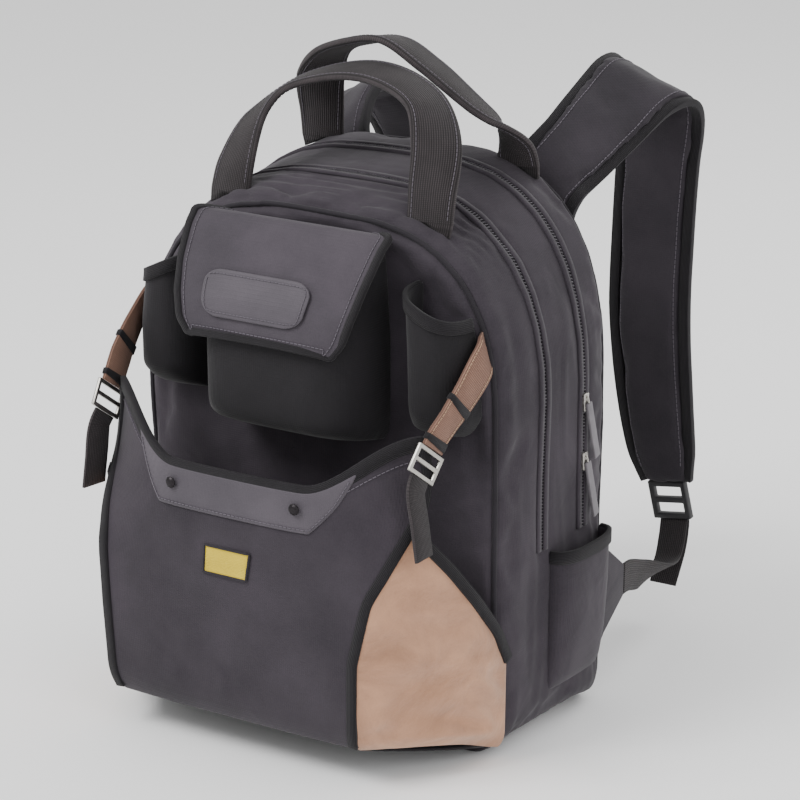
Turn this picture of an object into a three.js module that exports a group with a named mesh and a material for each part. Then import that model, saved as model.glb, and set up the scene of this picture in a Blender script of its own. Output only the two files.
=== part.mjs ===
import * as THREE from "three";

// Tool backpack in millimetres. +Z is up, the front faces -Y, and the origin lies on the floor
// under the middle of the body.

// Clearances and walls
const gap = 0.3;
const clothWall = 2;
const webbingWall = 2.6;

// Main body: width, depth from the front face to the back face, and heights of the crown
const bodyWidth = 326;
const bodyDepth = 158;
const frontHeight = 408;
const backHeight = 436;
const bodyWall = 2.6;
const baseRadius = 22;
const edgeRadius = 12;
const sideSwell = 3;
const crownDrop = 3;
const backPadding = 5;

// Shares of the body's half width and height that place the shoulder curve
const shoulderCurve = {
  startHeight: 0.644, firstPullHeight: 0.846, secondPullWidth: 0.8, secondPullHeight: 0.967, crownWidth: 0.37,
};

// Zips: their places along the depth, as shares from front to back, and their tape
const zipWidth = 8;
const zipTapeWall = 1.6;
const zipCoilRise = 1;
const zips = [
  { name: "front_zip", depth: 0.36 },
  { name: "rear_zip", depth: 0.715 },
];
const zipSliders = [
  { zip: 0, side: -1, rise: 0.5 },
  { zip: 1, side: 1, rise: 0.6 },
  { zip: 1, side: 1, rise: 0.49 },
];
const sliderLength = 14;
const sliderWidth = 7;
const sliderHeight = 3.6;
const pullLength = 46;
const pullWidth = 7;
const pullThickness = 2.4;

// Upper pocket and its flap
const upperPocketWidth = 142;
const upperPocketBottom = 238;
const upperPocketTop = 386;
const upperPocketReach = 64;
const flapWidth = 180;
const flapTop = 402;
const flapDrop = 84;
const flapReach = 69;
const flapShift = 6;
const flapPatchWidth = 106;
const flapPatchWall = 1.4;
const flapPatchShift = 0.06;

// Upper tool pockets beside the flap
const toolPocketInner = 97;
const toolPocketWidth = 54;
const toolPocketReach = 40;
const toolPocketBottom = 252;
const toolPocketTop = 366;
const toolPocketSlant = 26;

// Large front pocket
const pocketWidth = 258;
const pocketDepth = 108;
const pocketBottom = 28;
const pocketCornerTop = 268;
const scoopDepth = 41;
const scoopFlat = 0.42;
const gussetApex = 194;
const gussetRearTop = 93;
const gussetSwell = 13;
const gussetOverlap = 10;
const trimHeight = 34;
const trimTopWidth = 186;
const trimBottomWidth = 130;
const trimWall = 1.4;
const rivetRadius = 4.5;
const rivetHeight = 2.4;
const rivetSpacing = 104;
const rivetRise = 18;
const labelWidth = 41;
const labelHeight = 21;
const labelRise = 159;
const labelWall = 1.2;

// Tan straps that hold the front pocket's upper corners
const pocketStrapWidth = 27;
const pocketStrapTop = 322;
const pocketBuckleLength = 22;
const pocketBuckleWidth = 36;
const pocketBuckleBar = 3.2;
const pocketBuckleWall = 2.6;
const pocketTailLength = 62;
const pocketTailWidth = 24;
const pocketTailLead = 10;
const pocketTailSwing = 9;
const seamSample = 10;

// Carry handles of folded webbing
const handleWidth = 38;
const handleWall = 5;
const handleSpan = 184;
const frontHandleRise = 98;
const rearHandleRise = 94;
const frontHandleSeat = 1.6;
const rearHandleSeat = 2.3;

// Shoulder straps
const strapWidth = 72;
const strapWall = 10;
const strapSpacing = 110;
const strapEnd = 120;
const rightStrapReach = 180;
const rightStrapCrest = 468;
const leftStrapReach = 135;
const leftStrapCrest = 446;
const lowerWebbingWidth = 26;
const lowerWebbingSag = 30;
const strapBuckleWidth = 36;
const strapBuckleLength = 34;
const strapBuckleBar = 5;
const strapBuckleWall = 6;
const webbingTabHeight = 110;
const webbingTabReach = 46;
const webbingTabRise = 28;
const webbingTailEnd = 32;
const webbingTailLean = 20;

// Lower side pouches
const pouchFront = -12;
const pouchBack = 66;
const pouchBottom = 34;
const pouchTop = 149;
const pouchReach = 18;

// Values worked out from the sizes above
const frontFace = -bodyDepth / 2;
const backFace = bodyDepth / 2;
const panelFront = frontFace - gap;

// Colours of the materials
const colours = {
  cloth: "#4a444c",
  panelCloth: "#3a363c",
  trimCloth: "#57525a",
  flapCloth: "#5e5960",
  webbing: "#332f31",
  padding: "#262428",
  tan: "#b48c70",
  tanWebbing: "#9a7868",
  label: "#c8b030",
  metal: "#b8b8bc",
  zip: "#8c8a8e",
  plastic: "#242326",
};

const group = new THREE.Group();

function addPiece(name, geometry, colour, roughness = 0.9, metalness = 0) {
  const material = new THREE.MeshStandardMaterial({ color: colour, roughness, metalness });
  const mesh = new THREE.Mesh(geometry, material);
  mesh.name = name;
  group.add(mesh);
  return mesh;
}

function sideName(side) {
  return side > 0 ? "right" : "left";
}

function mix(from, to, share) {
  return from + (to - from) * share;
}

function smoothStep(share) {
  const clamped = Math.min(1, Math.max(0, share));
  return clamped * clamped * (3 - 2 * clamped);
}

// Reads one column of a table whose rows rise with the key column.
function readTable(rows, key, column, value) {
  const last = rows.length - 1;
  if (value <= rows[0][key]) return rows[0][column];
  if (value >= rows[last][key]) return rows[last][column];
  const above = rows.findIndex((row) => row[key] >= value);
  const low = rows[above - 1];
  const high = rows[above];
  return mix(low[column], high[column], (value - low[key]) / (high[key] - low[key]));
}

// Turns points and triangles into one closed body whose faces point out.
function closedBody(points, triangles) {
  const volume = triangles.reduce((sum, _, at) => {
    if (at % 3) return sum;
    const [a, b, c] = [points[triangles[at]], points[triangles[at + 1]], points[triangles[at + 2]]];
    return sum + a.dot(new THREE.Vector3().crossVectors(b, c));
  }, 0);
  const ordered = volume > 0 ? triangles : [...triangles].reverse();
  const geometry = new THREE.BufferGeometry();
  const places = points.flatMap((p) => [p.x, p.y, p.z]);
  geometry.setAttribute("position", new THREE.Float32BufferAttribute(places, 3));
  geometry.setIndex(ordered);
  geometry.computeVertexNormals();
  return geometry;
}

// A wall between an outer and an inner grid of points, closed at its rims.
function shell(outer, inner, wrap = false) {
  const rows = outer.length;
  const columns = outer[0].length;
  const at = (layer, row, column) => (layer * rows + row) * columns + (column % columns);
  const triangles = [];
  const quad = (a, b, c, d) => triangles.push(a, b, c, a, c, d);
  const spans = wrap ? columns : columns - 1;
  const top = rows - 1;
  const end = columns - 1;
  for (let column = 0; column < spans; column += 1) {
    const next = column + 1;
    for (let row = 0; row < top; row += 1) {
      quad(at(0, row, column), at(0, row, next), at(0, row + 1, next), at(0, row + 1, column));
      quad(at(1, row, column), at(1, row + 1, column), at(1, row + 1, next), at(1, row, next));
    }
    quad(at(1, 0, column), at(1, 0, next), at(0, 0, next), at(0, 0, column));
    quad(at(0, top, column), at(0, top, next), at(1, top, next), at(1, top, column));
  }
  for (let row = 0; row < top && !wrap; row += 1) {
    quad(at(0, row, 0), at(0, row + 1, 0), at(1, row + 1, 0), at(1, row, 0));
    quad(at(1, row, end), at(1, row + 1, end), at(0, row + 1, end), at(0, row, end));
  }
  return closedBody([...outer.flat(), ...inner.flat()], triangles);
}

// A solid through a row of closed sections, with flat ends.
function loft(sections) {
  const count = sections[0].length;
  const triangles = [];
  for (let step = 0; step < sections.length - 1; step += 1) {
    for (let index = 0; index < count; index += 1) {
      const next = (index + 1) % count;
      const low = step * count;
      const high = low + count;
      triangles.push(low + index, low + next, high + next, low + index, high + next, high + index);
    }
  }
  const base = (sections.length - 1) * count;
  for (let index = 1; index < count - 1; index += 1) {
    triangles.push(0, index + 1, index, base, base + index, base + index + 1);
  }
  return closedBody(sections.flat(), triangles);
}

// A sheet of cloth with the given outer surface: the wall lies behind it, against its normal.
function sheet(surface, uSteps, vSteps, wall, lift = 0, inward = 1) {
  const step = 1e-3;
  const grid = (depth) => vSteps.map((v) => uSteps.map((u) => {
    const alongU = surface(Math.min(1, u + step), v).sub(surface(Math.max(-1, u - step), v));
    const alongV = surface(u, Math.min(1, v + step)).sub(surface(u, Math.max(0, v - step)));
    const normal = alongU.cross(alongV).normalize();
    return surface(u, v).addScaledVector(normal, lift - inward * depth);
  }));
  return shell(grid(0), grid(wall));
}

function steps(from, to, count) {
  return Array.from({ length: count + 1 }, (_, index) => mix(from, to, index / count));
}

// Cross-sections of webbing and of padded straps, as shares of half the width and half the wall
const flatSection = [[-1, -1], [1, -1], [1, 1], [-1, 1]];
const paddedSection = [[-1, -0.4], [-0.86, -1], [0, -1], [0.86, -1], [1, -0.4], [1, 0.4], [0.86, 1], [0, 1],
  [-0.86, 1], [-1, 0.4]];

// A strap along a smooth curve: each row gives its middle, the direction across it and its width.
// An end that is sewn is cut along its own direction across, not square to the curve.
function ribbon(rows, count, wall, section = flatSection) {
  const curve = new THREE.CatmullRomCurve3(rows.map((row) => row.at), false, "centripetal");
  const sections = steps(0, 1, count).map((t) => {
    const place = t * (rows.length - 1);
    const low = Math.min(Math.floor(place), rows.length - 2);
    const share = place - low;
    const tangent = curve.getTangent(t);
    const across = rows[low].across.clone().lerp(rows[low + 1].across, share);
    const sewn = (t === 0 && rows[0].sewn) || (t === 1 && rows[low + 1].sewn);
    if (!sewn) across.addScaledVector(tangent, -across.dot(tangent));
    across.normalize();
    const face = new THREE.Vector3().crossVectors(tangent, across);
    const width = mix(rows[low].width, rows[low + 1].width, share);
    return section.map(([a, b]) => curve.getPoint(t)
      .addScaledVector(across, a * width / 2)
      .addScaledVector(face, b * wall / 2));
  });
  return loft(sections);
}

// The direction across, turned square to the direction along.
function squareTo(across, along) {
  return across.clone().addScaledVector(along, -across.dot(along) / along.lengthSq()).normalize();
}

// Places a shape drawn in its own plane: its x runs across, its y along, and it is centred on its wall.
function framePlate(width, length, bars, wall, centre, across, along) {
  const rectangle = (target, x0, y0, x1, y1) => {
    target.moveTo(x0, y0);
    target.lineTo(x1, y0);
    target.lineTo(x1, y1);
    target.lineTo(x0, y1);
    target.closePath();
    return target;
  };
  const shape = rectangle(new THREE.Shape(), -width / 2, -length / 2, width / 2, length / 2);
  const slots = bars.count - 1;
  const slotLength = (length - bars.count * bars.width) / slots;
  for (let index = 0; index < slots; index += 1) {
    const low = -length / 2 + bars.width + index * (slotLength + bars.width);
    const side = width / 2 - bars.width;
    shape.holes.push(rectangle(new THREE.Path(), -side, low, side, low + slotLength));
  }
  const geometry = new THREE.ExtrudeGeometry(shape, { depth: wall, bevelEnabled: false });
  geometry.translate(0, 0, -wall / 2);
  const x = across.clone().normalize();
  const z = new THREE.Vector3().crossVectors(x, along).normalize();
  const y = new THREE.Vector3().crossVectors(z, x);
  geometry.applyMatrix4(new THREE.Matrix4().makeBasis(x, y, z).setPosition(centre));
  return geometry;
}

// Body outline

function crownHeight(y) {
  return mix(frontHeight, backHeight, (y - frontFace) / bodyDepth);
}

// Right half of the outline from the base's middle to the crown's middle, x across and y up.
function halfOutline(height) {
  const half = bodyWidth / 2;
  const point = (x, z) => new THREE.Vector2(x, z);
  const shoulder = point(half, shoulderCurve.startHeight * height);
  const firstPull = point(half, shoulderCurve.firstPullHeight * height);
  const secondPull = point(shoulderCurve.secondPullWidth * half, shoulderCurve.secondPullHeight * height);
  const crown = point(shoulderCurve.crownWidth * half, height - crownDrop);
  const curves = [
    [new THREE.LineCurve(point(0, 0), point(half - baseRadius, 0)), 3],
    [new THREE.EllipseCurve(half - baseRadius, baseRadius, baseRadius, baseRadius, -Math.PI / 2, 0), 3],
    [new THREE.LineCurve(point(half, baseRadius), shoulder), 4],
    [new THREE.CubicBezierCurve(shoulder, firstPull, secondPull, crown), 8],
    [new THREE.QuadraticBezierCurve(crown, point(crown.x / 2, height), point(0, height)), 3],
  ];
  return curves.flatMap(([curve, count], index) => curve.getPoints(count).slice(index ? 1 : 0));
}

const halfCount = halfOutline(frontHeight).length;
const loopCount = 2 * (halfCount - 1);

// One closed loop of the body's outer surface at a depth, moved in by the inset.
function bodyLoop(y, inset) {
  const right = halfOutline(crownHeight(y));
  const left = right.slice(1, -1).reverse().map((p) => new THREE.Vector2(-p.x, p.y));
  const loop = [...right, ...left];
  const swellHere = sideSwell * (1 - (2 * y / bodyDepth) ** 2);
  return loop.map((point, index) => {
    const before = loop[(index + loopCount - 1) % loopCount];
    const after = loop[(index + 1) % loopCount];
    const normal = new THREE.Vector2(after.y - before.y, before.x - after.x).normalize();
    const move = swellHere * smoothStep(point.y / (4 * baseRadius)) - inset;
    return new THREE.Vector3(point.x + normal.x * move, y, point.y + normal.y * move);
  });
}

// The rounded edge at the front or back face: depth from the face and inset, for an angle share.
function edgePoint(share, depth) {
  const radius = edgeRadius - depth;
  const angle = share * Math.PI / 2;
  return { y: depth + radius * (1 - Math.cos(angle)), inset: depth + radius * (1 - Math.sin(angle)) };
}

// Outer x of the body's right side at a depth and height.
function sideAt(y, z) {
  const fromFace = Math.min(y - frontFace, backFace - y);
  const cosine = 1 - Math.min(fromFace, edgeRadius) / edgeRadius;
  const inset = edgeRadius * (1 - Math.sqrt(1 - cosine * cosine));
  const loop = bodyLoop(y, inset).slice(0, halfCount);
  const above = Math.max(1, loop.findIndex((point) => point.z >= z));
  const low = loop[above - 1];
  const high = loop[above];
  return mix(low.x, high.x, (z - low.z) / (high.z - low.z));
}

// Top of the body at a depth: the point above x, and the direction across the slope there.
function crownAt(y, x) {
  const loop = bodyLoop(y, 0).slice(0, halfCount);
  const above = loop.findIndex((point, index) => index > halfCount / 2 && point.x <= x);
  const low = loop[above - 1];
  const high = loop[above];
  const at = low.clone().lerp(high, (x - low.x) / (high.x - low.x));
  return { at, across: low.clone().sub(high).normalize() };
}

function zipDepth(zip) {
  return mix(frontFace, backFace, zip.depth);
}

// A zip runs over the crown between two columns of the outline and stops low on both sides.
const zipFirst = 8;
const zipLast = loopCount - zipFirst;

function besideZip(zip, index, towards) {
  const open = index >= zipFirst && index <= zipLast;
  return zipDepth(zip) + towards * (open ? zipWidth / 2 + gap : gap / 2);
}

// Body walls

const roundShares = [0, 0.35, 0.7, 1];

// A gusset from a face to the nearer zip; direction is 1 from the front, -1 from the back.
function endGusset(face, direction, zip) {
  const grid = (depth) => {
    const rows = roundShares.map((share) => {
      const { y, inset } = edgePoint(share, depth);
      return bodyLoop(face + direction * y, inset);
    });
    const last = bodyLoop(zipDepth(zip), depth);
    rows.push(last.map((point, index) => {
      const y = besideZip(zip, index, -direction);
      return bodyLoop(y, depth)[index];
    }));
    return rows;
  };
  return shell(grid(0), grid(bodyWall), true);
}

function middleGusset() {
  const from = zips[0];
  const to = zips[1];
  const grid = (depth) => steps(0, 1, 2).map((share) => Array.from({ length: loopCount }, (_, index) => {
    const y = mix(besideZip(from, index, 1), besideZip(to, index, -1), share);
    return bodyLoop(y, depth)[index];
  }));
  return shell(grid(0), grid(bodyWall), true);
}

function zipTape(zip) {
  const columns = Array.from({ length: zipLast - zipFirst + 1 }, (_, index) => zipFirst + index);
  const rows = [
    { across: -1, inset: zipCoilRise }, { across: 0, inset: 0 }, { across: 1, inset: zipCoilRise },
  ];
  const grid = (depth) => rows.map((row) => {
    const y = zipDepth(zip) + row.across * zipWidth / 2;
    const inset = depth ? zipCoilRise + depth : row.inset;
    const loop = bodyLoop(y, inset);
    return columns.map((index) => loop[index]);
  });
  return shell(grid(0), grid(zipTapeWall));
}

// A flat or padded panel inside the rounded edge; rows give the share from its middle and its rise.
function endPanel(face, outward, rows, wall) {
  const rim = bodyLoop(face, edgeRadius + gap);
  const middle = new THREE.Vector3(0, face, crownHeight(face) / 2);
  const loopAt = (share, rise) => rim.map((point) => {
    const at = middle.clone().lerp(point, share);
    at.y = face + outward * rise;
    return at;
  });
  const outer = rows.map((row) => loopAt(row.share, row.rise));
  const inner = [...rows].reverse().map((row) => loopAt(row.share, -wall));
  return loft([...outer, ...inner]);
}

const flatPanelRows = [{ share: 0.5, rise: 0 }, { share: 1, rise: 0 }];
const paddedPanelRows = [
  { share: 0.45, rise: backPadding }, { share: 0.9, rise: backPadding },
  { share: 0.96, rise: 0.75 * backPadding }, { share: 1, rise: 0 },
];

addPiece("body_front_panel", endPanel(frontFace, -1, flatPanelRows, bodyWall), colours.panelCloth);
addPiece("front_gusset", endGusset(frontFace, 1, zips[0]), colours.cloth);
addPiece("middle_gusset", middleGusset(), colours.cloth);
addPiece("rear_gusset", endGusset(backFace, -1, zips[1]), colours.cloth);
addPiece("back_panel", endPanel(backFace, 1, paddedPanelRows, bodyWall), colours.padding);
for (const zip of zips) addPiece(`${zip.name}_tape`, zipTape(zip), colours.zip, 0.6);

// Zip sliders, each with a soft pull that hangs down the side

function sliderPlace(slider) {
  const y = zipDepth(zips[slider.zip]);
  const z = slider.rise * crownHeight(y);
  return new THREE.Vector3(slider.side * (sideAt(y, z) + 2 * gap), y, z);
}

zipSliders.forEach((slider, index) => {
  const foot = sliderPlace(slider);
  const body = new THREE.BoxGeometry(sliderHeight, sliderWidth, sliderLength);
  body.translate(foot.x + slider.side * sliderHeight / 2, foot.y, foot.z);
  addPiece(`zip_slider_${index + 1}`, body, colours.metal, 0.35, 0.9);

  const startX = foot.x + slider.side * (sliderHeight + gap + pullThickness / 2);
  const start = new THREE.Vector3(startX, foot.y, foot.z);
  const across = new THREE.Vector3(0, 1, 0);
  const rows = [
    { down: 0, out: 0, back: 0 }, { down: 0.35, out: 1.2, back: 3 }, { down: 0.7, out: 1, back: 8 },
    { down: 1, out: 0.4, back: 13 },
  ].map((row) => ({
    at: start.clone().add(new THREE.Vector3(slider.side * row.out, row.back, -row.down * pullLength)),
    across,
    width: pullWidth,
  }));
  addPiece(`zip_pull_${index + 1}`, ribbon(rows, 6, pullThickness), colours.metal, 0.5, 0.4);
});

// Cups sewn to a face: an open top, a closed bottom, and the face itself as their back

// Rows give the rise from bottom to top, the half width and the reach, as shares of the cup's sizes.
function cup(rows, sizes, exponent, count, place) {
  const angles = steps(0, Math.PI, count);
  const round = (value) => Math.sign(value) * Math.abs(value) ** (2 / exponent);
  const grid = (depth) => rows.map((row, level) => angles.map((angle) => {
    const half = row.half * sizes.width / 2 - depth;
    const reach = Math.max(row.reach * sizes.reach - depth, level ? gap : gap / 2);
    const raise = level < 2 ? depth : 0;
    const out = reach * Math.max(0, round(Math.sin(angle)));
    return place(half * round(Math.cos(angle)), out, row.rise, raise);
  }));
  return shell(grid(0), grid(sizes.wall));
}

const upperPocketRows = [
  { rise: 0, half: 0.9, reach: 0.04 },
  { rise: 0.03, half: 0.96, reach: 0.75 },
  { rise: 0.12, half: 1, reach: 0.98 },
  { rise: 0.5, half: 1, reach: 1 },
  { rise: 0.8, half: 0.96, reach: 0.74 },
  { rise: 1, half: 0.92, reach: 0.4 },
];

const upperPocket = cup(
  upperPocketRows,
  { width: upperPocketWidth, reach: upperPocketReach, wall: clothWall },
  4.5,
  12,
  (across, reach, rise, raise) => new THREE.Vector3(
    across,
    panelFront - reach,
    mix(upperPocketBottom, upperPocketTop, rise) + raise,
  ),
);
addPiece("upper_pocket", upperPocket, colours.panelCloth);

const toolPocketRows = [
  { rise: 0, half: 0.7, reach: 0.08 },
  { rise: 0.05, half: 0.85, reach: 0.6 },
  { rise: 0.2, half: 1, reach: 0.9 },
  { rise: 0.6, half: 0.98, reach: 0.95 },
  { rise: 1, half: 0.84, reach: 1 },
];

for (const side of [1, -1]) {
  const sizes = { width: toolPocketWidth, reach: toolPocketReach, wall: clothWall };
  const geometry = cup(toolPocketRows, sizes, 2.6, 10, (across, reach, rise, raise) => {
    const half = readTable(toolPocketRows, "rise", "half", rise) * toolPocketWidth / 2;
    const outer = (across + half) / toolPocketWidth;
    const top = toolPocketTop - toolPocketSlant * outer;
    const x = side * (toolPocketInner + half + across);
    return new THREE.Vector3(x, panelFront - reach, mix(toolPocketBottom, top, rise) + raise);
  });
  addPiece(`tool_pocket_${sideName(side)}`, geometry, colours.cloth);
}

// Pouch cups on the body's sides follow the side's surface.
const pouchRows = [
  { rise: 0, half: 0.92, reach: 0.12 },
  { rise: 0.06, half: 0.97, reach: 0.45 },
  { rise: 0.3, half: 1, reach: 0.75 },
  { rise: 0.65, half: 1, reach: 0.95 },
  { rise: 1, half: 1, reach: 1 },
];

for (const side of [1, -1]) {
  const sizes = { width: pouchBack - pouchFront, reach: pouchReach, wall: clothWall };
  const geometry = cup(pouchRows, sizes, 3, 10, (across, reach, rise, raise) => {
    const y = (pouchFront + pouchBack) / 2 + across;
    const z = mix(pouchBottom, pouchTop, rise) + raise;
    return new THREE.Vector3(side * (sideAt(y, z) + 1.5 * gap + reach), y, z);
  });
  addPiece(`side_pouch_${sideName(side)}`, geometry, colours.cloth);
}

// Flap of the upper pocket: rows down the flap, as shares of its drop, reach and half width
const flapRows = [
  { v: 0, fall: 0.1, reach: 0, half: 0.72 },
  { v: 0.1, fall: 0.04, reach: 0.13, half: 0.8 },
  { v: 0.22, fall: 0, reach: 0.32, half: 1 },
  { v: 0.35, fall: 0.12, reach: 0.5, half: 0.99 },
  { v: 0.53, fall: 0.4, reach: 0.75, half: 0.95 },
  { v: 0.72, fall: 0.66, reach: 0.92, half: 0.9 },
  { v: 0.88, fall: 0.88, reach: 1, half: 0.84 },
  { v: 1, fall: 1, reach: 1.02, half: 0.74 },
];

function flapPoint(u, v) {
  const read = (column) => readTable(flapRows, "v", column, v);
  const droop = Math.abs(u) ** 3;
  return new THREE.Vector3(
    u * read("half") * flapWidth / 2 - flapShift,
    panelFront - read("reach") * flapReach * (1 - 0.08 * droop),
    flapTop - read("fall") * flapDrop - 3 * droop * v,
  );
}

const flapSteps = flapRows.map((row) => row.v);
const flap = sheet(flapPoint, steps(-1, 1, 10), flapSteps, clothWall, 0, -1);
addPiece("upper_pocket_flap", flap, colours.flapCloth);

const patchHalf = flapPatchWidth / flapWidth;
const patchRise = { top: 0.55, fold: 0.72, bottom: 0.84 };
const patchFold = (patchRise.fold - patchRise.top) / (patchRise.bottom - patchRise.top);
const patchPoint = (u, v) => flapPoint(
  u * patchHalf - flapPatchShift,
  mix(patchRise.top, patchRise.bottom, v),
);
const patchLift = -(1.8 * gap + flapPatchWall);
const flapPatch = sheet(patchPoint, steps(-1, 1, 6), [0, patchFold, 1], flapPatchWall, patchLift, -1);
addPiece("flap_patch", flapPatch, colours.trimCloth);

// Front pocket panel: rows up it, as shares of its height, depth and half width, with its sideways lean
const pocketRows = [
  { rise: 0, reach: 0.9, edgeReach: 0.88, half: 0.85, lean: -0.05 },
  { rise: 0.03, reach: 0.97, edgeReach: 0.95, half: 0.87, lean: -0.05 },
  { rise: 0.1, reach: 1, edgeReach: 0.98, half: 0.885, lean: -0.05 },
  { rise: 0.3, reach: 1.03, edgeReach: 1, half: 0.9, lean: -0.05 },
  { rise: 0.5, reach: 1.03, edgeReach: 0.97, half: 0.96, lean: -0.03 },
  { rise: 0.62, reach: 1.01, edgeReach: 0.83, half: 1.03, lean: -0.015 },
  { rise: 0.78, reach: 0.97, edgeReach: 0.58, half: 1.1, lean: 0 },
  { rise: 0.89, reach: 0.94, edgeReach: 0.53, half: 1.1, lean: 0 },
  { rise: 1, reach: 0.9, edgeReach: 0.55, half: 1.08, lean: 0 },
];

function pocketTopAt(u) {
  const share = smoothStep((Math.abs(u) - scoopFlat) / (1 - scoopFlat));
  return pocketCornerTop - scoopDepth * (1 - share);
}

function pocketPoint(u, z) {
  const rise = (z - pocketBottom) / (pocketCornerTop - pocketBottom);
  const read = (column) => readTable(pocketRows, "rise", column, rise);
  const reach = mix(read("reach"), read("edgeReach"), Math.abs(u) ** 3.2);
  const x = (u * read("half") + read("lean")) * pocketWidth / 2;
  return new THREE.Vector3(x, panelFront - reach * pocketDepth, z);
}

const pocketPanelPoint = (u, v) => pocketPoint(u, mix(pocketBottom, pocketTopAt(u), v));
const pocketSteps = [0, 0.034, 0.11, 0.28, 0.5, 0.65, 0.8, 0.9, 1];
const pocketPanel = sheet(pocketPanelPoint, steps(-1, 1, 16), pocketSteps, clothWall);
addPiece("front_pocket_panel", pocketPanel, colours.panelCloth);

// Lighter trim under the scoop, a trapezium sewn on the panel
const trimLift = 2.5 * gap;

function trimPoint(u, v) {
  const half = mix(trimBottomWidth, trimTopWidth, v) / pocketWidth;
  const low = pocketTopAt(0) - trimHeight;
  return pocketPoint(u * half, mix(low, pocketTopAt(u * half), v));
}

addPiece(
  "front_pocket_trim",
  sheet(trimPoint, steps(-1, 1, 12), steps(0, 1, 3), trimWall, trimLift + trimWall),
  colours.trimCloth,
);

const labelPoint = (u, v) => pocketPoint(u * labelWidth / pocketWidth, labelRise + (v - 0.5) * labelHeight);
const labelShape = sheet(labelPoint, steps(-1, 1, 2), [0, 1], labelWall, gap + labelWall);
addPiece("pocket_label", labelShape, colours.label, 0.7);

for (const side of [1, -1]) {
  const dome = [
    new THREE.Vector2(0, 0), new THREE.Vector2(rivetRadius, 0),
    new THREE.Vector2(rivetRadius, rivetHeight * 0.35),
    new THREE.Vector2(rivetRadius * 0.6, rivetHeight * 0.9), new THREE.Vector2(0, rivetHeight),
  ];
  const geometry = new THREE.LatheGeometry(dome, 10);
  const u = side * rivetSpacing / pocketWidth;
  const foot = pocketPoint(u, pocketTopAt(0) - trimHeight + rivetRise);
  geometry.rotateX(Math.PI);
  geometry.rotateZ(side * 0.06);
  geometry.translate(foot.x, foot.y - (trimLift + trimWall + 3 * gap), foot.z);
  addPiece(`trim_rivet_${sideName(side)}`, geometry, colours.metal, 0.4, 0.8);
}

// Tan side gussets of the front pocket, from the panel's edge back to the body's side

// On the left side the points are mirrored: their x is the distance out from the middle.
function gussetPoint(side, s, t) {
  const front = pocketPoint(side, mix(pocketBottom, gussetApex, t));
  front.x *= side;
  const rearDepth = frontFace + gussetOverlap;
  const rearRise = mix(baseRadius / 3, gussetRearTop, t);
  const rear = new THREE.Vector3(sideAt(rearDepth, rearRise) + 1.5 * gap, rearDepth, rearRise);
  const at = front.lerp(rear, s);
  const fullness = 0.45 + 0.55 * Math.sin(Math.PI * (0.1 + 0.8 * t));
  at.x += 2.5 * gap + gussetSwell * Math.sin(Math.PI * s) * fullness;
  return at;
}

const gussetSteps = [0, 0.07, 0.16, 0.3, 0.46, 0.64, 0.82, 1];

for (const side of [1, -1]) {
  const grid = (depth) => gussetSteps.map((t) => steps(0, 1, 8).map((s) => {
    const at = gussetPoint(side, s, t);
    return new THREE.Vector3(side * (at.x + depth), at.y, at.z);
  }));
  addPiece(`pocket_gusset_${sideName(side)}`, shell(grid(clothWall), grid(0)), colours.tan);
}

// Bottom of the front pocket, between the two gussets
function pocketFloor() {
  const fromFront = (clothWall + gap) / pocketDepth * 1.4;
  const grid = (depth) => steps(fromFront, 0.9, 5).map((s) => {
    const [left, right] = [-1, 1].map((side) => side * (gussetPoint(side, s, 0).x - 2 * gap));
    const edge = gussetPoint(1, s, 0);
    const y = Math.min(edge.y, panelFront);
    return steps(0, 1, 6).map((share) => new THREE.Vector3(mix(left, right, share), y, edge.z + depth));
  });
  return shell(grid(clothWall), grid(0));
}

addPiece("front_pocket_bottom", pocketFloor(), colours.panelCloth);

// Tan straps from the body to the pocket's corners, each with a metal slide and a dark tail

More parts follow.
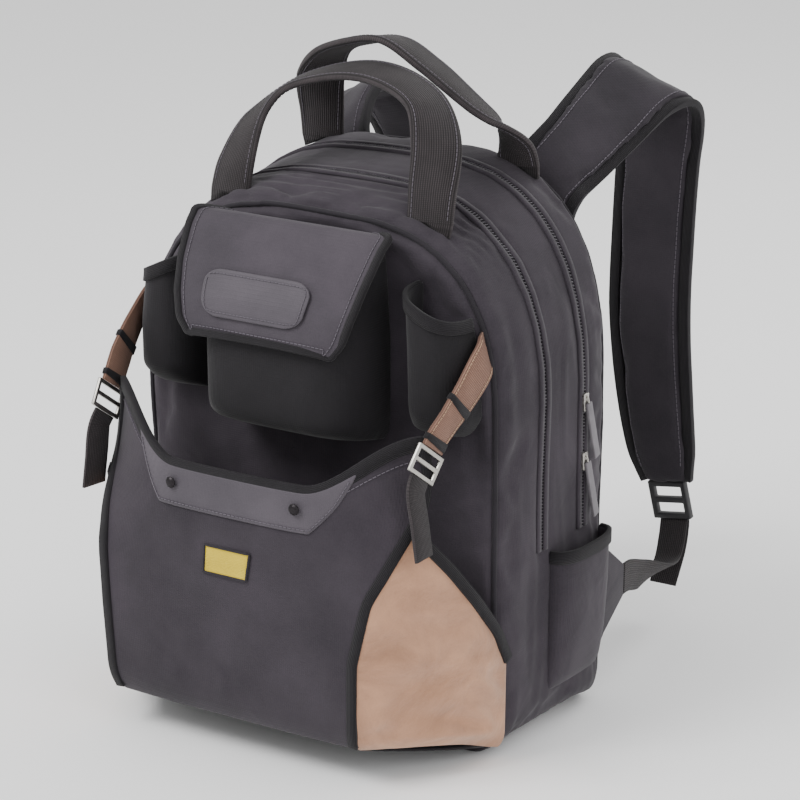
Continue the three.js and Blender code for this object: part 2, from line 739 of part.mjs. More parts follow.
for (const side of [1, -1]) {
  const name = sideName(side);
  const rootDepth = frontFace + edgeRadius / 3;
  const rootX = sideAt(rootDepth, pocketStrapTop) + 3.5 * gap + webbingWall / 2;
  const slope = sideAt(rootDepth, pocketStrapTop + seamSample) - sideAt(rootDepth, pocketStrapTop - seamSample);
  const seam = new THREE.Vector3(side * slope, 0, 2 * seamSample).normalize();
  const slanted = new THREE.Vector3(0, -0.75, 0.66);
  const corner = pocketPoint(1, pocketCornerTop);
  const outOfCorner = corner.x + 3.2 * webbingWall;
  const rows = [
    { forward: 0, down: 0, out: 0, turn: 0 },
    { forward: 0.2, down: 0.14, out: 0.02, turn: 0.15 },
    { forward: 0.5, down: 0.45, out: 0.06, turn: 0.6 },
    { forward: 0.8, down: 0.78, out: 0.5, turn: 1 },
    { forward: 0.98, down: 1, out: 0.9, turn: 1 },
    { forward: 1.05, down: 1.12, out: 1, turn: 1 },
  ].map((row) => ({
    at: new THREE.Vector3(
      side * mix(rootX, outOfCorner, row.out),
      mix(rootDepth, corner.y, row.forward),
      mix(pocketStrapTop, pocketCornerTop, row.down),
    ),
    across: seam.clone().lerp(slanted, row.turn),
    width: pocketStrapWidth,
    sewn: row.forward === 0,
  }));
  addPiece(`pocket_strap_${name}`, ribbon(rows, 16, webbingWall), colours.tanWebbing);

  const last = rows[rows.length - 1];
  const along = last.at.clone().sub(rows[rows.length - 2].at).normalize();
  const buckleAt = last.at.clone().addScaledVector(along, pocketBuckleLength / 2 + 3 * gap);
  const bars = { count: 3, width: pocketBuckleBar };
  const across = squareTo(last.across, along);
  const buckle = framePlate(
    pocketBuckleWidth, pocketBuckleLength, bars, pocketBuckleWall, buckleAt, across, along,
  );
  addPiece(`pocket_buckle_${name}`, buckle, colours.metal, 0.35, 0.9);

  const tailStart = buckleAt.clone().addScaledVector(along, pocketBuckleLength / 2 + 2 * gap);
  const tailRows = [0, 0.2, 0.6, 1].map((share) => {
    const at = tailStart.clone().addScaledVector(along, pocketTailLead * Math.min(1, 5 * share));
    at.x += side * pocketTailSwing * share;
    at.z -= Math.max(0, share - 0.2) * pocketTailLength;
    return { at, across, width: pocketTailWidth };
  });
  addPiece(`pocket_tail_${name}`, ribbon(tailRows, 6, webbingWall), colours.webbing);
}

// Carry handles: an arch from foot to foot that leans over the body and turns edge up at its top

// Rows from a foot to the middle: span, rise, lean towards the body's middle, turn of the webbing
const squareLeg = [
  { span: 1, rise: 0, lean: 0, turn: 0 },
  { span: 0.98, rise: 0.25, lean: 0.12, turn: 0.05 },
  { span: 0.91, rise: 0.57, lean: 0.4, turn: 0.3 },
  { span: 0.71, rise: 0.82, lean: 0.72, turn: 0.7 },
  { span: 0.38, rise: 0.95, lean: 0.93, turn: 0.95 },
  { span: 0, rise: 1, lean: 1, turn: 1 },
];
const straightLeg = [
  { span: 1, rise: 0, lean: 0, turn: 0 },
  { span: 0.98, rise: 0.16, lean: 0.08, turn: 0.05 },
  { span: 0.88, rise: 0.32, lean: 0.2, turn: 0.3 },
  { span: 0.66, rise: 0.5, lean: 0.4, turn: 0.7 },
  { span: 0.32, rise: 0.81, lean: 0.8, turn: 0.95 },
  { span: 0, rise: 1, lean: 1, turn: 1 },
];

function addHandle(name, footDepth, apexDepth, rise, seat, legs) {
  const foot = crownAt(footDepth, handleSpan / 2);
  const edgeUp = new THREE.Vector3(0, Math.sign(apexDepth - footDepth), 0.15);
  const [right, left] = [1, -1].map((side, index) => legs[index].map((row) => ({
    at: new THREE.Vector3(
      side * row.span * foot.at.x,
      mix(footDepth, apexDepth, row.lean),
      foot.at.z + seat + row.rise * rise,
    ),
    across: new THREE.Vector3(side * foot.across.x, 0, foot.across.z).lerp(edgeUp, row.turn),
    width: handleWidth,
    sewn: true,
  })));
  addPiece(name, ribbon([...right, ...left.slice(0, -1).reverse()], 24, handleWall), colours.webbing);
}

const handleInset = edgeRadius + handleWall;
const frontFoot = frontFace + handleInset;
const rearFoot = backFace - handleInset;
const frontLegs = [squareLeg, squareLeg];
const rearLegs = [straightLeg, squareLeg];
addHandle("front_handle", frontFoot, -handleWidth / 4, frontHandleRise, frontHandleSeat, frontLegs);
addHandle("rear_handle", rearFoot, handleWidth / 2 + 6, rearHandleRise, rearHandleSeat, rearLegs);

// Shoulder straps: from the top of the back panel up, over a crest and down to a slide at the lower end

// Rows along a strap: places outwards, backwards and up, sideways tilt in degrees, width
const standingStrap = [
  { out: 0.82, back: 0, rise: 0.7, tilt: 10, width: 0.84 },
  { out: 0.84, back: 0.01, rise: 0.78, tilt: 26, width: 0.84 },
  { out: 0.89, back: 0.06, rise: 0.84, tilt: 44, width: 0.84 },
  { out: 0.95, back: 0.2, rise: 0.888, tilt: 48, width: 0.86 },
  { out: 0.99, back: 0.42, rise: 0.948, tilt: 42, width: 0.93 },
  { out: 1.03, back: 0.64, rise: 1, tilt: 31, width: 1 },
  { out: 1.05, back: 0.79, rise: 0.985, tilt: 20, width: 1 },
  { out: 1.02, back: 0.88, rise: 0.92, tilt: 7, width: 1 },
  { out: 0.95, back: 0.92, rise: 0.8, tilt: -4, width: 1 },
  { out: 0.91, back: 0.93, rise: 0.6, tilt: -5, width: 1 },
  { out: 0.9, back: 0.93, rise: 0.42, tilt: -3, width: 1 },
  { out: 0.93, back: 0.955, rise: 0.23, tilt: 0, width: 0.96 },
  { out: 0.98, back: 0.98, rise: 0.08, tilt: 0, width: 0.86 },
  { out: 1.02, back: 1, rise: 0, tilt: 0, width: 0.64 },
];
const saggingStrap = [
  { out: 0.82, back: 0, rise: 0.75, tilt: 10, width: 0.84 },
  { out: 0.85, back: 0.01, rise: 0.83, tilt: 24, width: 0.84 },
  { out: 0.92, back: 0.08, rise: 0.9, tilt: 38, width: 0.84 },
  { out: 0.99, back: 0.24, rise: 0.96, tilt: 38, width: 0.88 },
  { out: 1.04, back: 0.42, rise: 1, tilt: 32, width: 0.95 },
  { out: 1.06, back: 0.6, rise: 0.995, tilt: 24, width: 1 },
  { out: 1.03, back: 0.78, rise: 0.955, tilt: 14, width: 1 },
  { out: 0.98, back: 0.9, rise: 0.88, tilt: 6, width: 1 },
  { out: 0.93, back: 0.95, rise: 0.77, tilt: -2, width: 1 },
  { out: 0.9, back: 0.96, rise: 0.6, tilt: -4, width: 1 },
  { out: 0.9, back: 0.95, rise: 0.42, tilt: -3, width: 1 },
  { out: 0.93, back: 0.965, rise: 0.23, tilt: 0, width: 0.96 },
  { out: 0.98, back: 0.985, rise: 0.08, tilt: 0, width: 0.86 },
  { out: 1.02, back: 1, rise: 0, tilt: 0, width: 0.64 },
];

const shoulderStraps = [
  { side: 1, reach: rightStrapReach, crest: rightStrapCrest, path: standingStrap },
  { side: -1, reach: leftStrapReach, crest: leftStrapCrest, path: saggingStrap },
];

for (const strap of shoulderStraps) {
  const { side } = strap;
  const name = sideName(side);
  const rootDepth = backFace + backPadding + gap + strapWall / 2;
  const rows = strap.path.map((row) => {
    const tilt = THREE.MathUtils.degToRad(row.tilt);
    return {
      at: new THREE.Vector3(
        side * row.out * strapSpacing,
        rootDepth + row.back * strap.reach,
        mix(strapEnd, strap.crest, row.rise),
      ),
      across: new THREE.Vector3(side * Math.cos(tilt), 0, -Math.sin(tilt)),
      width: row.width * strapWidth,
    };
  });
  addPiece(`shoulder_strap_${name}`, ribbon(rows, 30, strapWall, paddedSection), colours.padding);

  const end = rows[rows.length - 1].at;
  const down = end.clone().sub(rows[rows.length - 2].at).normalize();
  const across = squareTo(new THREE.Vector3(side, 0, 0), down);
  const buckleAt = end.clone().addScaledVector(down, strapBuckleLength / 2 + 3 * gap);
  const bars = { count: 3, width: strapBuckleBar };
  const buckle = framePlate(
    strapBuckleWidth, strapBuckleLength, bars, strapBuckleWall, buckleAt, across, down,
  );
  addPiece(`strap_buckle_${name}`, buckle, colours.plastic, 0.5);

  const exit = buckleAt.clone().addScaledVector(down, strapBuckleLength / 2 + 3 * gap);
  const tabX = side * (bodyWidth / 2 - 0.75 * edgeRadius);
  const tabY = backFace + gap;
  const tabZ = webbingTabRise + webbingTabHeight / 2;
  const tabEnd = new THREE.Vector3(tabX, tabY + webbingTabReach + 2 * gap, tabZ);
  const webbingRows = [
    { share: 0, sag: 0, upright: 0 }, { share: 0.03, sag: 0.4, upright: 0 },
    { share: 0.12, sag: 0.95, upright: 0.1 }, { share: 0.3, sag: 1, upright: 0.3 },
    { share: 0.65, sag: 0.5, upright: 0.8 },
    { share: 0.9, sag: 0.08, upright: 1 }, { share: 1, sag: 0, upright: 1 },
  ].map((row) => {
    const at = exit.clone().lerp(tabEnd, row.share);
    at.z -= row.sag * lowerWebbingSag;
    const upright = new THREE.Vector3(0, 0, 1);
    const turned = across.clone().lerp(upright, row.upright);
    return { at, across: turned, width: lowerWebbingWidth, sewn: true };
  });
  addPiece(`lower_webbing_${name}`, ribbon(webbingRows, 12, webbingWall), colours.webbing);

  const tailTop = exit.clone();
  tailTop.y += webbingWall + 1.3 * gap;
  const tailRows = [0, 0.15, 0.5, 1].map((share) => ({
    at: new THREE.Vector3(
      tailTop.x,
      tailTop.y - webbingTailLean * share ** 2,
      mix(tailTop.z, webbingTailEnd, share),
    ),
    across,
    width: lowerWebbingWidth,
    sewn: share === 0,
  }));
  addPiece(`webbing_tail_${name}`, ribbon(tailRows, 6, webbingWall), colours.webbing);

  const tabSections = [
    { back: 0, height: 1 }, { back: 0.35, height: 0.66 },
    { back: 1, height: lowerWebbingWidth / webbingTabHeight },
  ].map((section) => {
    const y = tabY + section.back * webbingTabReach;
    const half = section.height * webbingTabHeight / 2;
    return flatSection.map(([a, b]) => new THREE.Vector3(tabX + b * webbingWall / 2, y, tabZ + a * half));
  });
  addPiece(`webbing_tab_${name}`, loft(tabSections), colours.cloth);
}

group.name = "tool_backpack";

export default group;
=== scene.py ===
"""Looks of the tool backpack: cloth, webbing, padding and fittings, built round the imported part."""

import logging
import math
from collections.abc import Callable, Sequence
from dataclasses import dataclass, field
from enum import Enum

import bmesh
import bpy
import numpy as np
from mathutils import Matrix, Vector, noise
from mathutils.bvhtree import BVHTree
from mathutils.geometry import interpolate_bezier
from mathutils.kdtree import KDTree


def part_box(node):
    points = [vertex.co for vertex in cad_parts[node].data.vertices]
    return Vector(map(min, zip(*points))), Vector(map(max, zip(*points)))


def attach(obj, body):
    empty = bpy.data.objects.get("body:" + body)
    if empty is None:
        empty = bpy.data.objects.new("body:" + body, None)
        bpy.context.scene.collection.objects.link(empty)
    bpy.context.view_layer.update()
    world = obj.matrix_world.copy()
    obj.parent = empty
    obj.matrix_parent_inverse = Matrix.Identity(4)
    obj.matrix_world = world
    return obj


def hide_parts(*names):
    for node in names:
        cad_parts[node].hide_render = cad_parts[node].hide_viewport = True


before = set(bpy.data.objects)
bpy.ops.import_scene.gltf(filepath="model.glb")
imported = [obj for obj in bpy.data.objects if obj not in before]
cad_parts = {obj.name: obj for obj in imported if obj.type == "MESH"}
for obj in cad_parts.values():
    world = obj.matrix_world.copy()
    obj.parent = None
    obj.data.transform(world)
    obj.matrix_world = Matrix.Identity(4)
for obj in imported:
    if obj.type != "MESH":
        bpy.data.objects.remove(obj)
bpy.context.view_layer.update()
log = logging.getLogger("tool_backpack")

# One millimetre in the scene's metres
MM = 0.001

Surface = Callable[[float, float], Vector]


class Side(Enum):
    """The two sides of the bag, as the sign of their x."""

    RIGHT = 1
    LEFT = -1

    @property
    def word(self) -> str:
        """The side's name as the part's nodes spell it."""
        return self.name.lower()


class Wave(Enum):
    """The ways that a wave's bands may run."""

    X = "X"
    Y = "Y"
    Z = "Z"


# Colour and shader helpers


def linear(colour: str) -> tuple[float, float, float, float]:
    """Turns an sRGB hex colour into linear light.

    Args:
        colour: a hash and six hex digits.

    Returns:
        Red, green, blue and a full alpha.
    """
    parts = [int(colour[at:at + 2], 16) / 255 for at in (1, 3, 5)]
    return (*[c / 12.92 if c <= 0.04045 else ((c + 0.055) / 1.055) ** 2.4 for c in parts], 1.0)


def add_node(tree: bpy.types.NodeTree, kind: str, settings: dict | None = None,
             links: dict | None = None) -> bpy.types.Node:
    """Adds one shader node with its settings and links.

    Args:
        tree: the material's nodes.
        kind: the node's type name.
        settings: node properties by name, and input values by name or number.
        links: the output socket that feeds each input, by name or number.

    Returns:
        The new node.
    """
    node = tree.nodes.new(kind)
    for key, value in (settings or {}).items():
        if isinstance(key, str) and hasattr(node, key):
            setattr(node, key, value)
        else:
            node.inputs[key].default_value = value
    for key, socket in (links or {}).items():
        tree.links.new(socket, node.inputs[key])
    return node


def wave_scale(period: float) -> float:
    """The Wave texture's scale that gives bands of a period in metres."""
    return math.tau / (20 * period)


# Finishes


@dataclass
class Recipe:
    """One material's nodes, with the steps that the finishes share."""

    tree: bpy.types.NodeTree
    shader: bpy.types.Node
    place: bpy.types.NodeSocket

    def noise(self, size: float, detail: float = 2.0, roughness: float = 0.5,
              distortion: float = 0.0) -> bpy.types.NodeSocket:
        """Noise on the finish's coordinates.

        Args:
            size: how far across its features are, in millimetres.
            detail: the noise's octaves.
            roughness: how strong the finer octaves are.
            distortion: how much it swirls.

        Returns:
            The noise's value.
        """
        return add_node(self.tree, "ShaderNodeTexNoise", {
            "Scale": 1 / (size * MM), "Detail": detail, "Roughness": roughness, "Distortion": distortion,
        }, {"Vector": self.place}).outputs["Fac"]

    def bands(self, way: Wave, period: float, more: dict[str, float] | None = None) -> bpy.types.NodeSocket:
        """Soft bands on the finish's coordinates.

        Args:
            way: the axis that they cross.
            period: from one band to the next, in millimetres.
            more: further inputs of the wave.

        Returns:
            The bands' value.
        """
        return add_node(self.tree, "ShaderNodeTexWave", {
            "wave_type": "BANDS", "bands_direction": way.value, "wave_profile": "SIN",
            "Scale": wave_scale(period * MM), **(more or {}),
        }, {"Vector": self.place}).outputs["Fac"]

    def math(self, operation: str, *values: float | bpy.types.NodeSocket) -> bpy.types.NodeSocket:
        """One step of arithmetic.

        Args:
            operation: the Math node's operation.
            values: sockets and numbers, in the order of its inputs.

        Returns:
            The result.
        """
        numbers = {at: value for at, value in enumerate(values) if isinstance(value, float)}
        sockets = {at: value for at, value in enumerate(values) if not isinstance(value, float)}
        return add_node(self.tree, "ShaderNodeMath", {"operation": operation, **numbers}, sockets).outputs[0]

    def spread(self, value: bpy.types.NodeSocket, low: float, high: float, start: float = 0.3,
               end: float = 0.7) -> bpy.types.NodeSocket:
        """Stretches a range of a value to another range.

        Args:
            value: the value.
            low: what the start becomes.
            high: what the end becomes.
            start: the range's lower end.
            end: the range's upper end.

        Returns:
            The stretched value.
        """
        return add_node(self.tree, "ShaderNodeMapRange", {
            "From Min": start, "From Max": end, "To Min": low, "To Max": high,
        }, {"Value": value}).outputs["Result"]

    def tint(self, shade: str, colour: str, factor: bpy.types.NodeSocket) -> None:
        """Colours the shader from a shade to a colour.

        Args:
            shade: the darker colour in hex.
            colour: the lighter colour in hex.
            factor: where between them each point lies.
        """
        blend = add_node(self.tree, "ShaderNodeMix", {
            "data_type": "RGBA", "clamp_factor": True, 6: linear(shade), 7: linear(colour),
        }, {0: factor})
        self.tree.links.new(blend.outputs[2], self.shader.inputs["Base Color"])

    def relief(self, *layers: tuple[bpy.types.NodeSocket, float, float]) -> None:
        """Lays bumps over each other, the coarsest first.

        Args:
            layers: each bump's height, strength and depth in millimetres.
        """
        under = {}
        for height, strength, depth in layers:
            settings = {"Strength": strength, "Distance": depth * MM}
            bump = add_node(self.tree, "ShaderNodeBump", settings, {"Height": height, **under})
            under = {"Normal": bump.outputs[0]}
        self.tree.links.new(under["Normal"], self.shader.inputs["Normal"])

    def polish(self, rough: bpy.types.NodeSocket) -> None:
        """Lets a socket set the roughness."""
        self.tree.links.new(rough, self.shader.inputs["Roughness"])

    def settle(self, values: dict[str, float]) -> None:
        """Sets the shader's own values, by their inputs' names."""
        for name, value in values.items():
            self.shader.inputs[name].default_value = value


@dataclass(frozen=True)
class Finish:
    """A surface finish, with the record's slot that it belongs to."""

    name: str
    slot: str
    colour: str
    shade: str

    def coordinates(self, tree: bpy.types.NodeTree) -> bpy.types.NodeSocket:
        """The coordinates that the finish's textures follow."""
        return add_node(tree, "ShaderNodeTexCoord").outputs["Object"]

    def material(self) -> bpy.types.Material:
        """Makes the finish's material, or finds it if it is made.

        Returns:
            The material.
        """
        found = bpy.data.materials.get(self.name)
        if found:
            return found
        made = bpy.data.materials.new(self.name)
        made.use_nodes = True
        made.diffuse_color = linear(self.colour)
        tree = made.node_tree
        self.dress(Recipe(tree, tree.nodes["Principled BSDF"], self.coordinates(tree)))
        return made

    def dress(self, recipe: Recipe) -> None:
        """Gives the material its nodes and values."""
        recipe.settle({"Base Color": linear(self.colour)})


@dataclass(frozen=True)
class WovenCloth(Finish):
    """Polyester cloth of thick crossed threads with a coated back."""

    thread: float = 0.9
    roughness: float = 0.86
    sheen: float = 0.09
    relief: float = 0.16
    creases: float = 0.5
    crease_size: float = 55.0

    def dress(self, recipe: Recipe) -> None:
        """Crossed threads, soft creases and an uneven dye.

        Args:
            recipe: the material's nodes.
        """
        loose = {"Distortion": 1.6, "Detail": 1.0, "Detail Scale": 0.4}
        waves = [recipe.bands(way, 2 * self.thread, loose) for way in Wave]
        pairs = [recipe.math("MULTIPLY", waves[a], waves[b]) for a, b in ((0, 2), (1, 2), (0, 1))]
        weave = recipe.math("ADD", recipe.math("ADD", pairs[0], pairs[1]), pairs[2])
        crease = recipe.noise(self.crease_size, 3.0, 0.45, 0.8)
        dye = recipe.spread(recipe.noise(90, 5.0, 0.6), -0.1, 0.6)
        grain = recipe.noise(1.4 * self.thread, 2.0, 0.6)
        recipe.tint(self.shade, self.colour, recipe.math("MULTIPLY_ADD", grain, 0.5, dye))
        recipe.relief((crease, self.creases, 6), (weave, self.relief, 0.4))
        recipe.settle({"Roughness": self.roughness, "Sheen Weight": self.sheen, "Sheen Roughness": 0.45,
                       "IOR": 1.5, "Specular IOR Level": 0.3})


@dataclass(frozen=True)
class BrushedSuede(Finish):
    """Tan split leather look cloth with a short nap and hand marks."""

    def dress(self, recipe: Recipe) -> None:
        """Fine nap, drifting colour and shallow pulls in the cloth.

        Args:
            recipe: the material's nodes.
        """
        nap = recipe.noise(1.6, 3.0, 0.7)
        marks = recipe.noise(60, 6.0, 0.62, 0.5)
        mixed = recipe.math("MULTIPLY_ADD", nap, 0.25, recipe.spread(marks, 0.05, 0.85))
        recipe.tint(self.shade, self.colour, mixed)
        recipe.relief((marks, 0.6, 7), (nap, 0.3, 0.3))
        recipe.settle({"Roughness": 0.93, "Sheen Weight": 0.3, "Sheen Roughness": 0.6,
                       "Specular IOR Level": 0.2})


@dataclass(frozen=True)
class RibbedWebbing(Finish):
    """Woven webbing whose ribs follow the strap."""

    rib: float = 1.8
    roughness: float = 0.72

    def coordinates(self, tree: bpy.types.NodeTree) -> bpy.types.NodeSocket:
        """The piece's own lay of threads: across and along."""
        lay = add_node(tree, "ShaderNodeAttribute", {"attribute_type": "GEOMETRY", "attribute_name": "lay"})
        return lay.outputs["Vector"]

    def dress(self, recipe: Recipe) -> None:
        """Ribs across, picks along, painted shade in the grooves between the ribs and a worn nap.

        Args:
            recipe: the material's nodes.
        """
        ribs = recipe.bands(Wave.X, self.rib)
        picks = recipe.bands(Wave.Y, 0.8 * self.rib, {"Distortion": 0.4})
        height = recipe.math("ADD", ribs, recipe.math("MULTIPLY", ribs, picks))
        wear = recipe.noise(22, 5.0, 0.65)
        # The tone follows the ribs' height: the grooves take the dark colour as painted shade, and the wear
        # noise varies it at random.
        recipe.tint(self.shade, self.colour, recipe.math("MULTIPLY", height, wear))
        recipe.relief((height, 0.6, 0.5))
        recipe.settle({"Roughness": self.roughness, "Sheen Weight": 0.05, "Specular IOR Level": 0.25})


@dataclass(frozen=True)
class SpacerMesh(Finish):
    """Knitted spacer mesh over foam, with small open cells."""

    cell: float = 3.2

    def dress(self, recipe: Recipe) -> None:
        """Round cells sunk in a black knit, painted darker inside as painted shade.

        Args:
            recipe: the material's nodes.
        """
        cells = add_node(recipe.tree, "ShaderNodeTexVoronoi", {
            "feature": "F1", "Scale": 1 / (self.cell * MM), "Randomness": 0.25,
        }, {"Vector": recipe.place}).outputs["Distance"]
        knit = recipe.spread(cells, 0.0, 1.0, 0.15, 0.45)
        # The cells' depth sets the tone: their sunk middles take the dark colour as painted shade.
        recipe.tint(self.shade, self.colour, knit)
        recipe.relief((knit, 0.7, 0.8))
        recipe.settle({"Roughness": 0.9, "Sheen Weight": 0.25})


@dataclass(frozen=True)
class PressedMetal(Finish):
    """Pressed and tumbled metal with fine scratches."""

    roughness: float = 0.32

    def dress(self, recipe: Recipe) -> None:
        """Streaked roughness and a slightly uneven plating.

        Args:
            recipe: the material's nodes.
        """
        streaks = recipe.noise(3, 4.0, 0.6)
        recipe.polish(recipe.spread(streaks, self.roughness - 0.08, self.roughness + 0.14))
        recipe.tint(self.shade, self.colour, streaks)
        recipe.relief((streaks, 0.12, 0.1))
        recipe.settle({"Metallic": 1.0})


@dataclass(frozen=True)
class MouldedPlastic(Finish):
    """Moulded plastic or rubber with a faint grain from its mould."""

    roughness: float = 0.48
    grain: float = 0.7

    def dress(self, recipe: Recipe) -> None:
        """A spark-eroded grain and dull handling marks.

        Args:
            recipe: the material's nodes.
        """
        marks = recipe.noise(9, 4.0)
        recipe.polish(recipe.spread(marks, self.roughness - 0.06, self.roughness + 0.12))
        recipe.tint(self.shade, self.colour, marks)
        recipe.relief((recipe.noise(self.grain), 0.2, 0.1))


# The body cloth is 1000 denier polyester: matt charcoal with a slight purple cast. Its real threads are
# 0.4 mm apart, too fine to show, so they are drawn at 0.9 mm.
BODY_CLOTH = WovenCloth("polyester_cloth_charcoal", "body_cloth", "#3f3940", "#221e24")
# The front pocket's panel is the same cloth, pulled flatter and a touch darker.
PANEL_CLOTH = WovenCloth("polyester_cloth_dark", "panel_cloth", "#3b353c", "#201c22", creases=0.35)
# The upper pocket, the tool pockets and the front pocket's floor are almost black, and read as shade.
SHADOW_CLOTH = WovenCloth("polyester_cloth_black", "panel_cloth", "#1d1a1e", "#0d0c0e", creases=0.4)
# The flap's cloth is stiffened and taut; its colour is painted paler than the body's, as painted light for
# the light that it faces.
PAINTED_LIGHT_FLAP_CLOTH = WovenCloth("polyester_cloth_flap", "flap_cloth", "#4a444b", "#2f2b31", creases=0.3)
# The trim and the flap's patch are coated cloth: smoother, a little greyer, with a dull shine.
TRIM_CLOTH = WovenCloth("coated_cloth_grey", "trim_cloth", "#524c53", "#39353b", thread=0.7, roughness=0.62,
                        sheen=0.1, relief=0.2, creases=0.2)
# The side gussets are brushed suede-like cloth, warm tan with darker hand marks.
TAN_CLOTH = BrushedSuede("brushed_suede_tan", "tan_cloth", "#bd9072", "#7d5a45")
# The webbing is ribbed polypropylene: painted near black between the ribs, as painted shade in the grooves,
# and a worn grey on top of them.
WEBBING = RibbedWebbing("polypropylene_webbing_dark", "webbing", "#3d3739", "#151213")
# The corner straps are dry cotton webbing, browner and duller than the gussets that they cross.
TAN_WEBBING = RibbedWebbing("cotton_webbing_tan", "tan_webbing", "#a17d6b", "#5f463c", rib=1.5,
                            roughness=0.85)
# Every raw edge is bound in fine ribbed grosgrain that draws a black line round each panel.
BINDING = RibbedWebbing("grosgrain_binding_dark", "webbing", "#1f1b20", "#0c0a0d", rib=1.2)
# The seams' piping is tight dark cloth, a soft black cord along the body's edges.
BINDING_CLOTH = WovenCloth("piping_cloth_dark", "body_cloth", "#2a262c", "#161317", thread=0.7, creases=0.1)
# The shoulder straps are faced with body cloth, stretched smooth over their foam.
STRAP_CLOTH = WovenCloth("polyester_cloth_strap", "padding", "#353036", "#1b181d", creases=0.3)
# The back is padded under spacer mesh, with small open cells in a black knit, painted darker inside as
# painted shade.
PADDING = SpacerMesh("spacer_mesh_black", "padding", "#211f23", "#0a090b")
# Slides and sliders are nickel plated steel, dulled by use; the rivets are blackened.
NICKEL = PressedMetal("nickel_plated_steel", "metal", "#c9c6c0", "#8f8b86")
BLACKENED = PressedMetal("blackened_steel", "metal", "#3b383a", "#1c1a1c", roughness=0.42)
# The zips' coils are nylon, a grey line that catches a small shine on the black tape.
COIL = MouldedPlastic("nylon_zip_coil", "zip", "#5a565c", "#2e2b30", roughness=0.35)
# The zips' tapes are tight fine cloth, flat and black beside the coils.
TAPE = WovenCloth("zip_tape_black", "zip", "#29262b", "#151316", thread=0.6, creases=0.1)
# The zip pulls are soft grey rubber, the palest small marks on the body.
PULL = MouldedPlastic("rubber_pull_grey", "pull", "#807c80", "#4f4b50", roughness=0.55)
# The shoulder straps' slides are moulded black acetal with a low, even shine.
PLASTIC = MouldedPlastic("acetal_black", "plastic", "#2b2a2d", "#171618")
# The label is a plain woven patch, yellow with nothing on it.
LABEL = WovenCloth("woven_label_yellow", "label", "#d9bf3c", "#a88f24", thread=0.6, relief=0.5, creases=0.0)
# The dark cloth is sewn in grey thread, light enough for its rows to show.
THREAD = MouldedPlastic("polyester_thread_grey", "body_cloth", "#625c64", "#3f3a42", roughness=0.7,
                        grain=0.3)
# The tan gussets are sewn in pale tan thread, a dashed line inside their edges.
TAN_THREAD = MouldedPlastic("polyester_thread_tan", "tan_cloth", "#c9a98c", "#8f705a", roughness=0.7,
                            grain=0.3)


# Mesh helpers


@dataclass(frozen=True)
class Table:
    """Rows of shares, read between by their first column."""

    columns: tuple[str, ...]
    rows: tuple[tuple[float, ...], ...]

    def read(self, column: str, key: float) -> float:
        """Reads one column.

        Args:
            column: the column's name.
            key: a value of the first column.

        Returns:
            The column's value there.
        """
        at = self.columns.index(column)
        return float(np.interp(key, [row[0] for row in self.rows], [row[at] for row in self.rows]))


def mix(start: float, end: float, share: float) -> float:
    """The number a share of the way from start to end."""
    return start + (end - start) * share


def smooth_step(share: float) -> float:
    """A share eased at both its ends."""
    share = min(1.0, max(0.0, share))
    return share * share * (3 - 2 * share)


def node_shape(*nodes: str) -> bmesh.types.BMesh:
    """Copies CAD nodes into one bmesh, merged and with its triangles joined.

    Args:
        nodes: the CAD nodes' names.

    Returns:
        The new bmesh.
    """
    shape = bmesh.new()
    for node in nodes:
        shape.from_mesh(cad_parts[node].data)
    bmesh.ops.remove_doubles(shape, verts=shape.verts, dist=0.01 * MM)
    bmesh.ops.join_triangles(shape, faces=shape.faces, angle_face_threshold=math.radians(12),
                             angle_shape_threshold=math.radians(60))
    return shape


def round_edges(shape: bmesh.types.BMesh, radius: float, segments: int = 2,
                edges: Sequence[bmesh.types.BMEdge] | None = None) -> None:
    """Rounds edges, or all of them.

    Args:
        shape: the bmesh.
        radius: in millimetres.
        segments: the rounding's steps.
        edges: the edges, if not all.
    """
    bmesh.ops.bevel(shape, geom=list(shape.edges) if edges is None else edges, offset=radius * MM,
                    segments=segments, profile=0.5, affect="EDGES", material=-1)


def make_piece(name: str, shape: bmesh.types.BMesh, finish: Finish,
               replaced: Sequence[str] = ()) -> bpy.types.Object:
    """Makes a finished bmesh into a piece that rides on the bag.

    Args:
        name: the piece's name.
        shape: its bmesh, freed here.
        finish: what it is made of.
        replaced: the CAD nodes that it stands for.

    Returns:
        The piece.
    """
    mesh = bpy.data.meshes.new(name)
    shape.to_mesh(mesh)
    shape.free()
    mesh.shade_smooth()
    mesh.materials.append(finish.material())
    piece = bpy.data.objects.new(name, mesh)
    bpy.context.scene.collection.objects.link(piece)
    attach(piece, "root")
    if replaced:
        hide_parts(*replaced)
    return piece


def bake(piece: bpy.types.Object) -> None:
    """Applies a piece's modifiers to its mesh.

    Args:
        piece: the piece.
    """
    evaluated = piece.evaluated_get(bpy.context.evaluated_depsgraph_get())
    mesh = bpy.data.meshes.new_from_object(evaluated)
    piece.modifiers.clear()
    piece.data = mesh


def subdivide(piece: bpy.types.Object, levels: int) -> None:
    """Rounds a piece by subdivision and keeps the result.

    Args:
        piece: the piece.
        levels: how many times each face is split.
    """
    rounding = piece.modifiers.new("rounding", "SUBSURF")
    rounding.levels = levels
    rounding.render_levels = levels
    bake(piece)


def points_of(piece: bpy.types.Object) -> np.ndarray:
    """The piece's points as rows of x, y, z."""
    found = np.zeros(len(piece.data.vertices) * 3, np.float32)
    piece.data.vertices.foreach_get("co", found)
    return found.reshape(-1, 3).astype(float)


def normals_of(piece: bpy.types.Object) -> np.ndarray:
    """The piece's normals as rows of x, y, z."""
    found = np.zeros(len(piece.data.vertices) * 3, np.float32)
    piece.data.vertices.foreach_get("normal", found)
    return found.reshape(-1, 3).astype(float)


def set_points(piece: bpy.types.Object, points: np.ndarray) -> None:
    """Moves the piece's points."""
    piece.data.vertices.foreach_set("co", points.astype(np.float32).ravel())
    piece.data.update()


